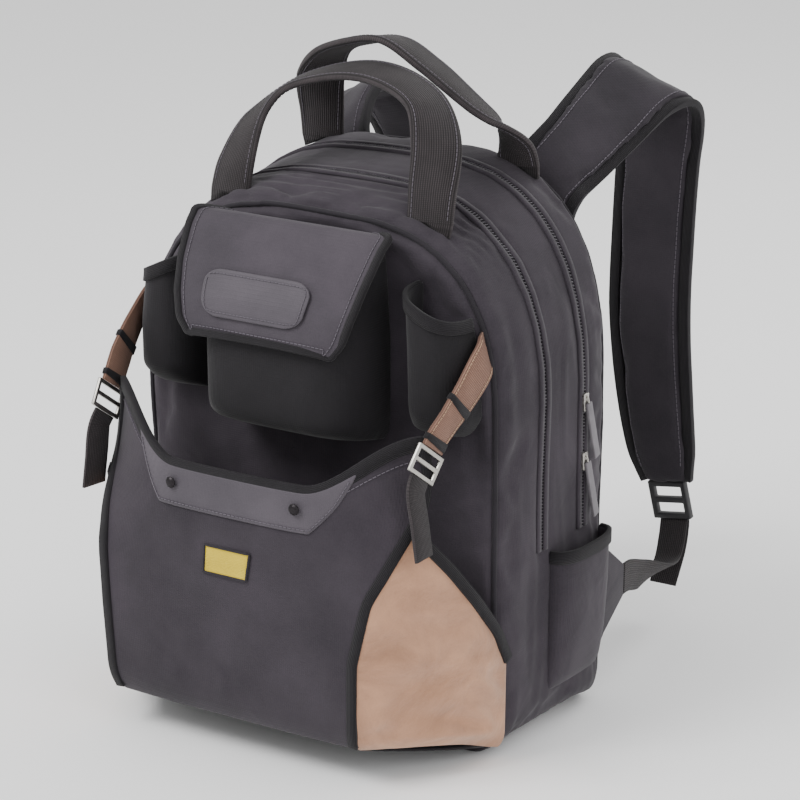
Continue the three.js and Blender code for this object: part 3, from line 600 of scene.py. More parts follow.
def ripple(points: np.ndarray, size: Sequence[float], seed: float, sharp: bool = False) -> np.ndarray:
    """A smooth field of folds between -1 and 1.

    Args:
        points: rows of x, y, z in metres.
        size: the folds' size along x, y and z in millimetres.
        seed: moves the field.
        sharp: makes ridges of it.

    Returns:
        One value for each point.
    """
    scaled = points / (np.array(size) * MM) + seed
    values = np.array([noise.noise(Vector(p)) for p in scaled])
    return 1 - 2 * np.abs(values) if sharp else values


@dataclass(frozen=True)
class Inflation:
    """A cloth simulation that fills a closed shape and lets it crease."""

    voxel: float = 5.0
    pressure: float = 4.0
    cap: float = 6.0
    slack: float = 0.03
    frames: int = 20

    def run(self, piece: bpy.types.Object, seams: Sequence[Vector] = (), reach: float = 4.0) -> None:
        """Remeshes the piece, fills it and keeps the result.

        Args:
            piece: a closed shape.
            seams: points that stay where they are.
            reach: how far from them cloth is held, in millimetres.
        """
        remesh = piece.modifiers.new("even_mesh", "REMESH")
        remesh.mode = "VOXEL"
        remesh.voxel_size = self.voxel * MM
        bake(piece)
        start = points_of(piece)
        if seams:
            self.hold(piece, start, seams, reach)
        cloth = piece.modifiers.new("Cloth", "CLOTH")
        settings = cloth.settings
        settings.use_pressure = True
        settings.uniform_pressure_force = self.pressure
        settings.effector_weights.gravity = 0
        settings.quality = 5
        settings.mass = 0.4
        settings.tension_stiffness = 20
        settings.compression_stiffness = 20
        settings.shear_stiffness = 8
        settings.bending_stiffness = 0.6
        settings.shrink_min = -self.slack
        if seams:
            settings.vertex_group_mass = "sewn"
        cloth.point_cache.frame_start = 1
        cloth.point_cache.frame_end = self.frames
        scene = bpy.context.scene
        for at in range(1, self.frames + 1):
            scene.frame_set(at)
        bake(piece)
        scene.frame_set(1)
        moved = points_of(piece) - start
        length = np.maximum(np.linalg.norm(moved, axis=1, keepdims=True), 1e-9)
        set_points(piece, start + moved * np.minimum(1, self.cap * MM / length))
        piece.vertex_groups.clear()
        piece.data.shade_smooth()

    def hold(self, piece: bpy.types.Object, points: np.ndarray, seams: Sequence[Vector],
             reach: float) -> None:
        """Puts the points near the seams in the group that the simulation holds.

        Args:
            piece: the piece.
            points: its points.
            seams: points along its seams.
            reach: how far from them cloth is held, in millimetres.
        """
        tree = KDTree(len(seams))
        for at, seam in enumerate(seams):
            tree.insert(seam, at)
        tree.balance()
        group = piece.vertex_groups.new(name="sewn")
        held = [at for at, point in enumerate(points) if tree.find(Vector(point))[2] < reach * MM]
        group.add(held, 1.0, "REPLACE")


def near_path(points: np.ndarray, path: Sequence[Vector], width: float) -> np.ndarray:
    """How near points lie to a path.

    Args:
        points: the points, one a row.
        path: the path.
        width: how far from the path it falls away, in millimetres.

    Returns:
        One number a point, 1 on the path and 0 far from it.
    """
    tree = KDTree(len(path))
    for at, point in enumerate(path):
        tree.insert(point, at)
    tree.balance()
    away = np.array([tree.find(Vector(point))[2] for point in points])
    return np.exp(-((away / (width * MM)) ** 2))


def even_path(path: Sequence[Vector], step: float, closed: bool = False) -> list[Vector]:
    """Spaces a path's points evenly.

    Args:
        path: its points in order.
        step: the spacing in millimetres.
        closed: joins its last point to its first.

    Returns:
        The new points.
    """
    points = np.array([list(p) for p in path])
    if closed:
        points = np.vstack([points, points[:1]])
    away = np.concatenate([[0], np.cumsum(np.linalg.norm(np.diff(points, axis=0), axis=1))])
    count = max(2, int(round(away[-1] / (step * MM))) + 1)
    at = np.linspace(0, away[-1], count)
    if closed:
        at = at[:-1]
    return [Vector([float(np.interp(s, away, points[:, axis])) for axis in range(3)]) for s in at]


def onto(path: Sequence[Vector], surface: BVHTree, lift: float) -> list[Vector]:
    """Lays a path on a surface.

    Args:
        path: the path.
        surface: the surface.
        lift: how far above it, in millimetres.

    Returns:
        The path's new points.
    """
    laid = []
    for point in path:
        at, normal, _, _ = surface.find_nearest(point)
        outward = normal if (point - at).dot(normal) >= -1e-4 or normal.dot(point) > 0 else -normal
        laid.append(at + outward * lift * MM)
    return laid


def surface_of(*pieces: bpy.types.Object) -> BVHTree:
    """A search tree over the faces of pieces.

    Args:
        pieces: the pieces.

    Returns:
        The tree.
    """
    shape = bmesh.new()
    for piece in pieces:
        shape.from_mesh(piece.data)
    tree = BVHTree.FromBMesh(shape)
    shape.free()
    return tree


def tube(name: str, paths: Sequence[Sequence[Vector]], radius: float, finish: Finish, closed: bool = False,
         sides: int = 2) -> bpy.types.Object:
    """Makes round cords along paths, as one piece.

    Args:
        name: the piece's name.
        paths: each cord's points.
        radius: the cords' radius in millimetres.
        finish: what they are made of.
        closed: joins each path's ends.
        sides: the bevel's resolution.

    Returns:
        The piece.
    """
    curve = bpy.data.curves.new(name, "CURVE")
    curve.dimensions = "3D"
    curve.bevel_depth = radius * MM
    curve.bevel_resolution = sides
    curve.use_fill_caps = True
    for path in paths:
        spline = curve.splines.new("POLY")
        spline.points.add(len(path) - 1)
        spline.points.foreach_set("co", [value for p in path for value in (p.x, p.y, p.z, 1.0)])
        spline.use_cyclic_u = closed
    drawn = bpy.data.objects.new(name + "_line", curve)
    bpy.context.scene.collection.objects.link(drawn)
    mesh = bpy.data.meshes.new_from_object(drawn.evaluated_get(bpy.context.evaluated_depsgraph_get()))
    bpy.data.objects.remove(drawn)
    bpy.data.curves.remove(curve)
    shape = bmesh.new()
    shape.from_mesh(mesh)
    bpy.data.meshes.remove(mesh)
    bmesh.ops.recalc_face_normals(shape, faces=shape.faces)
    return make_piece(name, shape, finish)


def stitches(name: str, paths: Sequence[Sequence[Vector]], finish: Finish, pitch: float = 3.6,
             radius: float = 0.42) -> bpy.types.Object:
    """Sews rows of thread along paths.

    Args:
        name: the piece's name.
        paths: the rows.
        finish: the thread's finish.
        pitch: the stitches' spacing in millimetres.
        radius: the thread's radius in millimetres.

    Returns:
        The piece.
    """
    rows = []
    for path in paths:
        points = even_path(path, pitch / 4)
        rows.extend(points[at:at + 4] for at in range(0, len(points) - 4, 4))
    return tube(name, rows, radius, finish, sides=1)


def sheet(name: str, surface: Surface, cells: tuple[int, int], wall: float, finish: Finish,
          replaced: Sequence[str] = (), outward: Vector | None = None, levels: int = 1,
          smoothing: int = 2) -> bpy.types.Object:
    """Makes a piece of cloth over a surface: its wall lies behind it.

    Args:
        name: the piece's name.
        surface: gives a point for u from -1 to 1 and v from 0 to 1.
        cells: the number of cells along u and v.
        wall: the cloth's thickness in millimetres.
        finish: what it is made of.
        replaced: the CAD nodes that it stands for.
        outward: the way that its middle faces.
        levels: subdivision at the end.
        smoothing: how often the cloth is eased.

    Returns:
        The piece.
    """
    shape = bmesh.new()
    lay = shape.verts.layers.float_vector.new("lay")
    bmesh.ops.create_grid(shape, x_segments=cells[0], y_segments=cells[1], size=1.0)
    width = (surface(1, 0.5) - surface(-1, 0.5)).length
    height = (surface(0, 1) - surface(0, 0)).length
    for vert in shape.verts:
        u = min(1.0, max(-1.0, vert.co.x))
        v = min(1.0, max(0.0, (vert.co.y + 1) / 2))
        vert.co = surface(u, v)
        vert[lay] = Vector((u * width / 2, v * height, 0))
    inside = [vert for vert in shape.verts if not vert.is_boundary]
    for _ in range(smoothing):
        bmesh.ops.smooth_vert(shape, verts=inside, factor=0.5, use_axis_x=True, use_axis_y=True,
                              use_axis_z=True)
    shape.normal_update()
    facing = sum((face.normal * face.calc_area() for face in shape.faces), Vector())
    if outward is not None and facing.dot(outward) < 0:
        bmesh.ops.reverse_faces(shape, faces=shape.faces)
    piece = make_piece(name, shape, finish, replaced)
    thick = piece.modifiers.new("wall", "SOLIDIFY")
    thick.thickness = wall * MM
    thick.offset = -1
    thick.use_even_offset = True
    subdivide(piece, levels)
    declare_cut(surface)
    return piece


def declare_cut(surface: Surface) -> None:
    """Samples the surface on a grid of points, and keeps none of them.

    Args:
        surface: its surface.
    """
    grid = np.array([[list(surface(u, v)) for u in np.linspace(-1, 1, 41)] for v in np.linspace(0, 1, 41)])


def around(half: float, low: float, high: float, count: int) -> list[tuple[float, float]]:
    """Pairs of u and v round a rectangle on a sheet.

    Args:
        half: its reach in u to both sides.
        low: its lower v.
        high: its upper v.
        count: the points along u.

    Returns:
        The pairs in order.
    """
    return [*[(u, low) for u in np.linspace(-half, half, count)],
            *[(half, v) for v in np.linspace(low, high, 8)],
            *[(u, high) for u in np.linspace(half, -half, count)],
            *[(-half, v) for v in np.linspace(high, low, 8)]]


# Ribbons of webbing, binding and padded strap


@dataclass(frozen=True)
class Stop:
    """One place along a ribbon: its middle, the way across, and its width in metres."""

    at: Vector
    across: Vector
    width: float
    sewn: bool = False


class Section(Enum):
    """Cross-sections as shares of half the width and half the wall."""

    WEBBING = ((-1, -0.35), (-0.95, -1), (0, -1), (0.95, -1), (1, -0.35),
               (1, 0.35), (0.95, 1), (0, 1), (-0.95, 1), (-1, 0.35))
    PADDED = ((-1, -0.4), (-0.86, -1), (0, -1), (0.86, -1), (1, -0.4),
              (1, 0.4), (0.86, 1), (0, 1), (-0.86, 1), (-1, 0.4))


@dataclass
class Ribbon:
    """A strap along a smooth curve through its stops."""

    stops: list[Stop]
    wall: float
    count: int = 60
    section: Section = Section.WEBBING

    def point(self, t: float) -> Vector:
        """A point of the centripetal Catmull-Rom curve through the stops.

        Args:
            t: the share of the way from the first stop to the last.

        Returns:
            The point.
        """
        points = [stop.at for stop in self.stops]
        last = len(points) - 1
        at = min(int(t * last), last - 1)
        share = t * last - at
        p1, p2 = points[at], points[at + 1]
        p0 = points[at - 1] if at > 0 else p1 * 2 - p2
        p3 = points[at + 2] if at + 2 <= last else p2 * 2 - p1
        d0, d1, d2 = (math.sqrt(max((b - a).length, 1e-9)) for a, b in ((p0, p1), (p1, p2), (p2, p3)))
        m1 = ((p1 - p0) / d0 - (p2 - p0) / (d0 + d1) + (p2 - p1) / d1) * d1
        m2 = ((p2 - p1) / d1 - (p3 - p1) / (d1 + d2) + (p3 - p2) / d2) * d1
        s2, s3 = share ** 2, share ** 3
        return (p1 * (2 * s3 - 3 * s2 + 1) + m1 * (s3 - 2 * s2 + share) + p2 * (3 * s2 - 2 * s3)
                + m2 * (s3 - s2))

    def frames(self) -> list[tuple[Vector, Vector, Vector, float]]:
        """Places along the ribbon.

        Returns:
            Its middle, the way across, the way its face looks and its width, at each place.
        """
        found = []
        last = len(self.stops) - 1
        for index in range(self.count + 1):
            t = index / self.count
            low = min(int(t * last), last - 1)
            share = t * last - low
            tangent = (self.point(min(1, t + 1e-4)) - self.point(max(0, t - 1e-4))).normalized()
            across = self.stops[low].across.lerp(self.stops[low + 1].across, share)
            sewn = (index == 0 and self.stops[0].sewn) or (index == self.count and self.stops[-1].sewn)
            if not sewn:
                across = across - tangent * across.dot(tangent)
            across = across.normalized()
            width = mix(self.stops[low].width, self.stops[low + 1].width, share)
            found.append((self.point(t), across, tangent.cross(across), width))
        return found

    def line(self, across: float, lift: float, start: float = 0.0, end: float = 1.0) -> list[Vector]:
        """A line that runs along the ribbon.

        Args:
            across: its place as a share of the half width.
            lift: how far it lies from the middle of the wall, in millimetres.
            start: where it starts, as a share of the length.
            end: where it ends.

        Returns:
            Its points.
        """
        frames = self.frames()
        first, last = int(start * self.count), int(round(end * self.count))
        return [at + side * across * width / 2 + face * lift * MM
                for at, side, face, width in frames[first:last + 1]]

    def shape(self) -> bmesh.types.BMesh:
        """The ribbon's closed mesh, with its lay of threads.

        Returns:
            The new bmesh.
        """
        shape = bmesh.new()
        lay = shape.verts.layers.float_vector.new("lay")
        section = self.section.value
        ring = bmesh.ops.create_circle(shape, cap_ends=False, segments=len(section), radius=1.0)["verts"]
        for vert, (a, b) in zip(ring, section):
            vert.co = Vector((a, b, 0))
        frames = self.frames()
        bases = []
        for at, across, face, width in frames:
            along = across.cross(face)
            columns = (across * width / 2, face * self.wall * MM / 2, along)
            matrix = Matrix.Identity(4)
            for column, vector in enumerate(columns):
                for row in range(3):
                    matrix[row][column] = vector[row]
            matrix.translation = at
            bases.append(matrix)
        for vert, (a, _) in zip(ring, section):
            vert[lay] = Vector((a * frames[0][3] / 2, 0, 0))
        bmesh.ops.transform(shape, matrix=bases[0], verts=ring)
        edges = list(shape.edges)
        bmesh.ops.contextual_create(shape, geom=edges)
        away = 0.0
        for index in range(1, len(bases)):
            out = bmesh.ops.extrude_edge_only(shape, edges=edges)["geom"]
            edges = [item for item in out if isinstance(item, bmesh.types.BMEdge)]
            verts = [item for item in out if isinstance(item, bmesh.types.BMVert)]
            bmesh.ops.transform(shape, matrix=bases[index] @ bases[index - 1].inverted(), verts=verts)
            away += (frames[index][0] - frames[index - 1][0]).length
            for vert in verts:
                vert[lay] = Vector((vert[lay].x, away, 0))
        bmesh.ops.contextual_create(shape, geom=edges)
        bmesh.ops.recalc_face_normals(shape, faces=shape.faces)
        return shape

    def build(self, name: str, finish: Finish, replaced: Sequence[str] = ()) -> bpy.types.Object:
        """Makes the ribbon a piece.

        Args:
            name: the piece's name.
            finish: what it is made of.
            replaced: the CAD nodes that it stands for.

        Returns:
            The piece.
        """
        return make_piece(name, self.shape(), finish, replaced)


def binding(name: str, rim: Sequence[Vector], inward: Sequence[Vector], width: float, wall: float,
            finish: Finish = BINDING) -> bpy.types.Object:
    """Folds a tape over the edge of a cloth.

    Args:
        name: the piece's name.
        rim: points along the edge.
        inward: the way into the cloth at each.
        width: how wide the folded tape is, in millimetres.
        wall: its thickness over the edge, in millimetres.
        finish: what it is made of.

    Returns:
        The piece.
    """
    stops = [Stop(at + way.normalized() * (width / 2 - 1) * MM, way, width * MM)
             for at, way in zip(rim, inward)]
    return Ribbon(stops, wall, count=3 * len(stops)).build(name, finish)


# The main body


@dataclass(frozen=True)
class BodyOutline:
    """The body's outline, in millimetres: an arch that grows taller towards the back."""

    width: float = 326
    depth: float = 158
    front_height: float = 408
    back_height: float = 436
    base_radius: float = 22
    edge_radius: float = 12
    swell: float = 3
    crown_drop: float = 3
    start_height: float = 0.644
    first_pull: float = 0.846
    second_pull: tuple[float, float] = (0.8, 0.967)
    crown_width: float = 0.37

    @property
    def front(self) -> float:
        """Where the front face lies."""
        return -self.depth / 2

    @property
    def back(self) -> float:
        """Where the back face lies."""
        return self.depth / 2

    def crown(self, y: float) -> float:
        """The height of the arch at a depth."""
        return mix(self.front_height, self.back_height, (y - self.front) / self.depth)

    def half(self, y: float) -> list[tuple[float, float]]:
        """The right half of the outline at a depth.

        Args:
            y: the depth.

        Returns:
            Pairs of x and z, from the base's middle to the crown's middle.
        """
        height, half, radius = self.crown(y), self.width / 2, self.base_radius
        crown = Vector((self.crown_width * half, height - self.crown_drop, 0))
        shoulder = Vector((half, self.start_height * height, 0))
        pulls = (Vector((half, self.first_pull * height, 0)),
                 Vector((self.second_pull[0] * half, self.second_pull[1] * height, 0)))
        top = Vector((0, height, 0))
        ease = Vector((crown.x / 2, height, 0))
        found = [(x, 0.0) for x in np.linspace(0, half - radius, 12)]
        found += [(half - radius + radius * math.sin(a), radius - radius * math.cos(a))
                  for a in np.linspace(0, math.pi / 2, 7)[1:]]
        found += [(half, z) for z in np.linspace(radius, shoulder.y, 18)[1:]]
        found += [(p.x, p.y) for p in interpolate_bezier(shoulder, *pulls, crown, 24)[1:]]
        last = interpolate_bezier(crown, crown.lerp(ease, 2 / 3), top.lerp(ease, 2 / 3), top, 10)
        found += [(p.x, p.y) for p in last[1:]]
        return found

    def loop(self, y: float, inset: float = 0.0) -> list[Vector]:
        """The whole outline at a depth.

        Args:
            y: the depth.
            inset: how far inside the surface, in millimetres.

        Returns:
            Its points in metres, in order.
        """
        right = self.half(y)
        points = np.array(right + [(-x, z) for x, z in reversed(right[1:-1])])
        along = np.roll(points, -1, axis=0) - np.roll(points, 1, axis=0)
        normals = np.stack([along[:, 1], -along[:, 0]], axis=1)
        normals /= np.linalg.norm(normals, axis=1, keepdims=True)
        swell = self.swell * (1 - (2 * y / self.depth) ** 2)
        move = np.array([swell * smooth_step(z / (4 * self.base_radius)) - inset for _, z in points])
        moved = points + normals * move[:, None]
        return [Vector((x * MM, y * MM, z * MM)) for x, z in moved]

    def side(self, y: float, z: float) -> float:
        """How far the side stands from the middle.

        Args:
            y: the depth in millimetres.
            z: the height in millimetres.

        Returns:
            The side's x in millimetres.
        """
        half = self.loop(y)[:len(self.half(y))]
        from_face = min(y - self.front, self.back - y)
        share = 1 - min(from_face, self.edge_radius) / self.edge_radius
        inset = self.edge_radius * (1 - math.sqrt(1 - share * share))
        return float(np.interp(z, [p.z / MM for p in half], [p.x / MM for p in half])) - inset

    def arch(self, y: float, low: float) -> list[Vector]:
        """The part of a loop above a height, from the right foot over the crown to the left.

        Args:
            y: the depth in millimetres.
            low: the height of its feet in millimetres.

        Returns:
            Its points in metres.
        """
        return [p for p in self.loop(y) if p.z >= low * MM]


OUTLINE = BodyOutline()


@dataclass
class Body:
    """The zipped body: cloth all round, piping on its edges and two zips over its arch."""

    zip_places: tuple[float, float] = (0.36, 0.715)
    zip_feet: float = 148
    piping: float = 2.1
    folds: float = 2.2
    surface: BVHTree | None = field(default=None, init=False)

    def seam_loops(self) -> list[list[Vector]]:
        """The closed seams round the front and back faces, in metres."""
        inset = 0.3 * OUTLINE.edge_radius
        return [even_path(OUTLINE.loop(OUTLINE.front + inset, inset), 4, closed=True),
                even_path(OUTLINE.loop(OUTLINE.back - inset, inset), 4, closed=True)]

    def zip_paths(self) -> list[list[Vector]]:
        """The lines that the zips follow over the arch, in metres."""
        places = [mix(OUTLINE.front, OUTLINE.back, share) for share in self.zip_places]
        return [even_path(OUTLINE.arch(y, self.zip_feet), 3) for y in places]

    def build_cloth(self) -> bpy.types.Object:
        """Makes the body's cloth, filled by simulation and then creased.

        Returns:
            The piece.
        """
        nodes = ("front_gusset", "middle_gusset", "rear_gusset", "body_front_panel")
        shape = bmesh.new()
        for node in nodes:
            shape.from_mesh(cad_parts[node].data)
        bmesh.ops.remove_doubles(shape, verts=shape.verts, dist=0.01 * MM)
        hull = bmesh.ops.convex_hull(shape, input=shape.verts)
        inner = [item for item in hull["geom_interior"] + hull["geom_unused"]
                 if isinstance(item, bmesh.types.BMVert)]
        bmesh.ops.delete(shape, geom=inner, context="VERTS")
        kept = {item for item in hull["geom"] if isinstance(item, bmesh.types.BMFace)}
        spare = [face for face in shape.faces if face not in kept]
        bmesh.ops.delete(shape, geom=spare, context="FACES_ONLY")
        piece = make_piece("body_cloth", shape, BODY_CLOTH, nodes)
        seams = [p for loop in self.seam_loops() for p in loop]
        Inflation(voxel=5.0, pressure=3.0, cap=2.5, slack=0.035).run(piece, seams, reach=5.0)
        subdivide(piece, 1)
        self.crease(piece)
        return piece

    def crease(self, piece: bpy.types.Object) -> None:
        """Adds the sags and folds of a filled bag, and sinks its seams.

        Args:
            piece: the body's cloth.
        """
        points = points_of(piece)
        normals = normals_of(piece)
        x, y, z = points.T / MM
        side = np.clip((np.abs(x) - 140) / 20, 0, 1)
        upright = ripple(points, (60, 15, 110), 3.1, sharp=True) * 0.6 + ripple(points, (40, 26, 70), 8.4)
        top = np.clip((z - 360) / 40, 0, 1) * np.clip((-y - 18) / 20, 0, 1)
        pleats = ripple(points, (120, 9, 14), 5.7, sharp=True)
        sag = ripple(points, (130, 90, 130), 1.7)
        move = self.folds * (0.8 * side * upright + 1.3 * top * pleats + 0.7 * sag)
        for loop in self.seam_loops():
            move -= 1.6 * near_path(points, loop, 4)
        for path in self.zip_paths():
            move -= 2.2 * near_path(points, path, 7)
        move *= np.clip(z / 20, 0, 1)
        points = points + normals * move[:, None] * MM
        points[:, 2] = np.maximum(points[:, 2], 0.2 * MM)
        set_points(piece, points)
        self.surface = surface_of(piece)

    def build_piping(self) -> None:
        """Lays covered cord along the seams of the front and back faces."""
        for name, loop in zip(("front_piping", "rear_piping"), self.seam_loops()):
            laid = onto(loop, self.surface, 0.8)
            for point in laid:
                point.z = max(point.z, (self.piping + 0.2) * MM)
            tube(name, [laid], self.piping, BINDING_CLOTH, closed=True, sides=3)

    def build_zip(self, name: str, path: list[Vector]) -> None:
        """Makes one zip: tape, two lips of cloth and the coil between them.

        Args:
            name: the zip's name.
            path: its line in metres.
        """
        laid = onto(path, self.surface, 0.6)
        ahead = Vector((0, 1, 0))
        tape = [Stop(at, ahead, 14 * MM) for at in laid[::3]]
        Ribbon(tape, 1.4, count=len(laid)).build(f"{name}_tape_cloth", TAPE, (f"{name}_tape",))
        for word, shift in (("front", -5.2), ("rear", 5.2)):
            lip = onto([p + ahead * shift * MM for p in path], self.surface, 1.2)
            rows = [Stop(at, ahead, 5.5 * MM) for at in lip[::3]]
            Ribbon(rows, 2.6, count=len(lip)).build(f"{name}_{word}_lip", BODY_CLOTH)
        dense = even_path(laid, 0.5)
        coil = []
        for index, at in enumerate(dense):
            turn = index * 0.5 / 2.6 * math.tau
            outward = Vector((at.x, 0, max(0.0, at.z - 0.25))).normalized()
            lift = outward * (1.1 + 0.9 * math.sin(turn)) * MM
            coil.append(at + lift + ahead * 2.2 * math.cos(turn) * MM)
        tube(f"{name}_coil", [coil], 0.55, COIL, sides=0)

    def build(self) -> None:
        """Builds the body's pieces in order."""
        self.build_cloth()
        log.info("body cloth filled and creased")
        self.build_piping()
        for name, path in zip(("front_zip", "rear_zip"), self.zip_paths()):
            self.build_zip(name, path)
        log.info("piping and zips laid")


@dataclass
class ZipSlider:
    """A zip's slider with its long soft pull."""

    number: int
    lift: float = 2.5

    def build(self) -> None:
        """Makes the slider's body and bridge, and rounds the pull."""
        low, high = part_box(f"zip_slider_{self.number}")
        side = 1 if low.x > 0 else -1
        lift = Vector((side * self.lift, 0, 0)) * MM
        low, high = low + lift, high + lift
        centre = (low + high) / 2
        shape = bmesh.new()
        bmesh.ops.create_cube(shape, size=1.0)
        bmesh.ops.scale(shape, vec=high - low, verts=shape.verts)
        ends = [v for v in shape.verts if v.co.z < 0]
        bmesh.ops.scale(shape, vec=(1, 0.7, 1), verts=ends)
        bmesh.ops.translate(shape, vec=centre, verts=shape.verts)
        round_edges(shape, 0.8, segments=3)
        make_piece(f"slider_body_{self.number}", shape, NICKEL, (f"zip_slider_{self.number}",))
        out = high.x if side > 0 else low.x
        arch = [Vector((out + side * 1.6 * MM * math.sin(a), centre.y, centre.z - 5 * MM * math.cos(a)))
                for a in np.linspace(0, math.pi, 9)]
        tube(f"slider_bridge_{self.number}", [arch], 0.7, NICKEL)
        pull = node_shape(f"zip_pull_{self.number}")
        bmesh.ops.translate(pull, vec=lift, verts=pull.verts)
        round_edges(pull, 0.5)
        make_piece(f"pull_grip_{self.number}", pull, PULL, (f"zip_pull_{self.number}",))
        log.info("zip slider %d", self.number)


# Cloth cups: the upper pocket, the tool pockets and the side pouches


@dataclass
class Cup:
    """A pocket with an open top whose back is the face that it is sewn to, in millimetres."""

    name: str
    node: str
    width: float
    reach: float
    exponent: float
    table: Table
    place: Callable[[float, float, float], Vector]
    finish: Finish
    wall: float = 2.0

    def surface(self, u: float, v: float) -> Vector:
        """A point of the cup's outer face.

        Args:
            u: round it, from -1 to 1.
            v: up it, from 0 to 1.

        Returns:
            The point in metres.
        """
        angle = (u + 1) / 2 * math.pi
        power = 2 / self.exponent
        cosine, sine = math.cos(angle), max(0.0, math.sin(angle))
        across = self.table.read("half", v) * self.width / 2 * math.copysign(abs(cosine) ** power, cosine)
        out = max(self.table.read("reach", v) * self.reach * sine ** power, 0.3)
        return self.place(across, out, v) * MM

    def build(self) -> bpy.types.Object:
        """Makes the cup and its bound mouth.

        Returns:
            The cup's cloth.
        """
        middle = self.surface(0, 0.5) - (self.surface(-1, 0.5) + self.surface(1, 0.5)) / 2
        piece = sheet(self.name, self.surface, (44, 26), self.wall, self.finish, (self.node,), middle)
        share = 8 / max(1.0, (self.surface(0, 1) - self.surface(0, 0)).length / MM)
        steps = np.linspace(-0.97, 0.97, 26)
        rim = [self.surface(u, 1) for u in steps]
        inward = [self.surface(u, 1 - share) - self.surface(u, 1) for u in steps]
        binding(f"{self.name}_binding", rim, inward, 10, self.wall + 1.6)
        log.info("%s", self.name)
        return piece


UPPER_POCKET = Table(("rise", "half", "reach"), (
    (0, 0.9, 0.04), (0.03, 0.96, 0.75), (0.12, 1, 0.98), (0.5, 1, 1), (0.8, 0.96, 0.74), (1, 0.92, 0.4)))
TOOL_POCKET = Table(("rise", "half", "reach"), (
    (0, 0.7, 0.08), (0.05, 0.85, 0.6), (0.2, 1, 0.9), (0.6, 0.98, 0.95), (1, 0.84, 1)))
SIDE_POUCH = Table(("rise", "half", "reach"), (
    (0, 0.92, 0.12), (0.06, 0.97, 0.45), (0.3, 1, 0.75), (0.65, 1, 0.95), (1, 1, 1)))


@dataclass
class UpperPocket:
    """The upper pocket, its flap and the flap's plain patch, in millimetres."""

    width: float = 142
    bottom: float = 238
    top: float = 386
    reach: float = 64
    flap_width: float = 180
    flap_top: float = 402
    flap_drop: float = 84
    flap_reach: float = 69
    flap_shift: float = 6
    patch_width: float = 106
    patch_shift: float = 0.06
    flap_table: Table = Table(("v", "fall", "reach", "half"), (
        (0, 0.1, 0, 0.72), (0.1, 0.04, 0.13, 0.8), (0.22, 0, 0.32, 1), (0.35, 0.12, 0.5, 0.99),
        (0.53, 0.4, 0.75, 0.95), (0.72, 0.66, 0.92, 0.9), (0.88, 0.88, 1, 0.84), (1, 1, 1.02, 0.74)))

    def place(self, across: float, reach: float, rise: float) -> Vector:
        """A point of the pocket on the body.

        Args:
            across: from the pocket's middle, in millimetres.
            reach: out from the body, in millimetres.
            rise: up the pocket, from 0 to 1.

        Returns:
            The point in millimetres.
        """
        return Vector((across, OUTLINE.front - 0.3 - reach, mix(self.bottom, self.top, rise)))

    def flap(self, u: float, v: float) -> Vector:
        """A point of the flap's outer face.

        Args:
            u: across it, from -1 to 1.
            v: down it, from 0 to 1.

        Returns:
            The point in metres.
        """
        read = self.flap_table.read
        droop = abs(u) ** 3
        return Vector((
            u * read("half", v) * self.flap_width / 2 - self.flap_shift,
            OUTLINE.front - 0.3 - read("reach", v) * self.flap_reach * (1 - 0.08 * droop),
            self.flap_top - read("fall", v) * self.flap_drop - 3 * droop * v,
        )) * MM

    def patch(self, u: float, v: float) -> Vector:
        """A point of the patch's outer face, with its corners rounded off.

        Args:
            u: across it, from -1 to 1.
            v: down it, from 0 to 1.

        Returns:
            The point in metres.
        """
        half = self.patch_width / self.flap_width
        corner = 1 - 0.1 * (max(0.0, abs(2 * v - 1) - 0.5) / 0.5) ** 2
        level = 0.5 + (v - 0.5) * (1 - 0.2 * (max(0.0, abs(u) - 0.75) / 0.25) ** 2)
        at = self.flap(u * half * corner - self.patch_shift, mix(0.55, 0.84, level))
        return at + Vector((0, -2.8, 0.6)) * MM

    def build(self) -> None:
        """Builds the pocket, its flap, bindings and stitches."""
        Cup("upper_pocket_cloth", "upper_pocket", self.width, self.reach, 4.5, UPPER_POCKET, self.place,
            SHADOW_CLOTH).build()
        flap = sheet("flap_cloth", self.flap, (40, 44), 2.0, PAINTED_LIGHT_FLAP_CLOTH, ("upper_pocket_flap",),
                     Vector((0, -1, 0.6)), smoothing=6)
        points = points_of(flap)
        wave = ripple(points, (60, 60, 40), 4.2) * np.clip((-points[:, 1] / MM - 95) / 40, 0, 1)
        points[:, 1] -= 1.6 * wave * MM
        set_points(flap, points)
        outer = surface_of(flap)
        steps = np.linspace(0, 1, 22)
        sides = [[self.flap(side, v) for v in steps] for side in (-1, 1)]
        edge = sides[0] + [self.flap(u, 1) for u in np.linspace(-0.9, 0.9, 20)] + sides[1][::-1]
        centre = self.flap(0, 0.5)
        binding("flap_binding", edge, [centre - p for p in edge], 5.5, 3.4, BINDING)
        inner = [self.flap(-0.9, v) for v in steps]
        inner += [self.flap(u, 0.93) for u in np.linspace(-0.85, 0.85, 20)]
        inner += [self.flap(0.9, v) for v in steps[::-1]]
        stitches("flap_stitches", [onto(even_path(inner, 3), outer, 0.5)], THREAD)
        sheet("flap_patch_cloth", self.patch, (30, 14), 1.8, TRIM_CLOTH, ("flap_patch",),
              Vector((0, -1, 0.4)))
        frame_line = [self.patch(u, v) + Vector((0, -0.5, 0.1)) * MM for u, v in around(0.93, 0.1, 0.9, 20)]
        stitches("patch_stitches", [frame_line], THREAD, pitch=3.2, radius=0.35)
        log.info("upper pocket and flap")


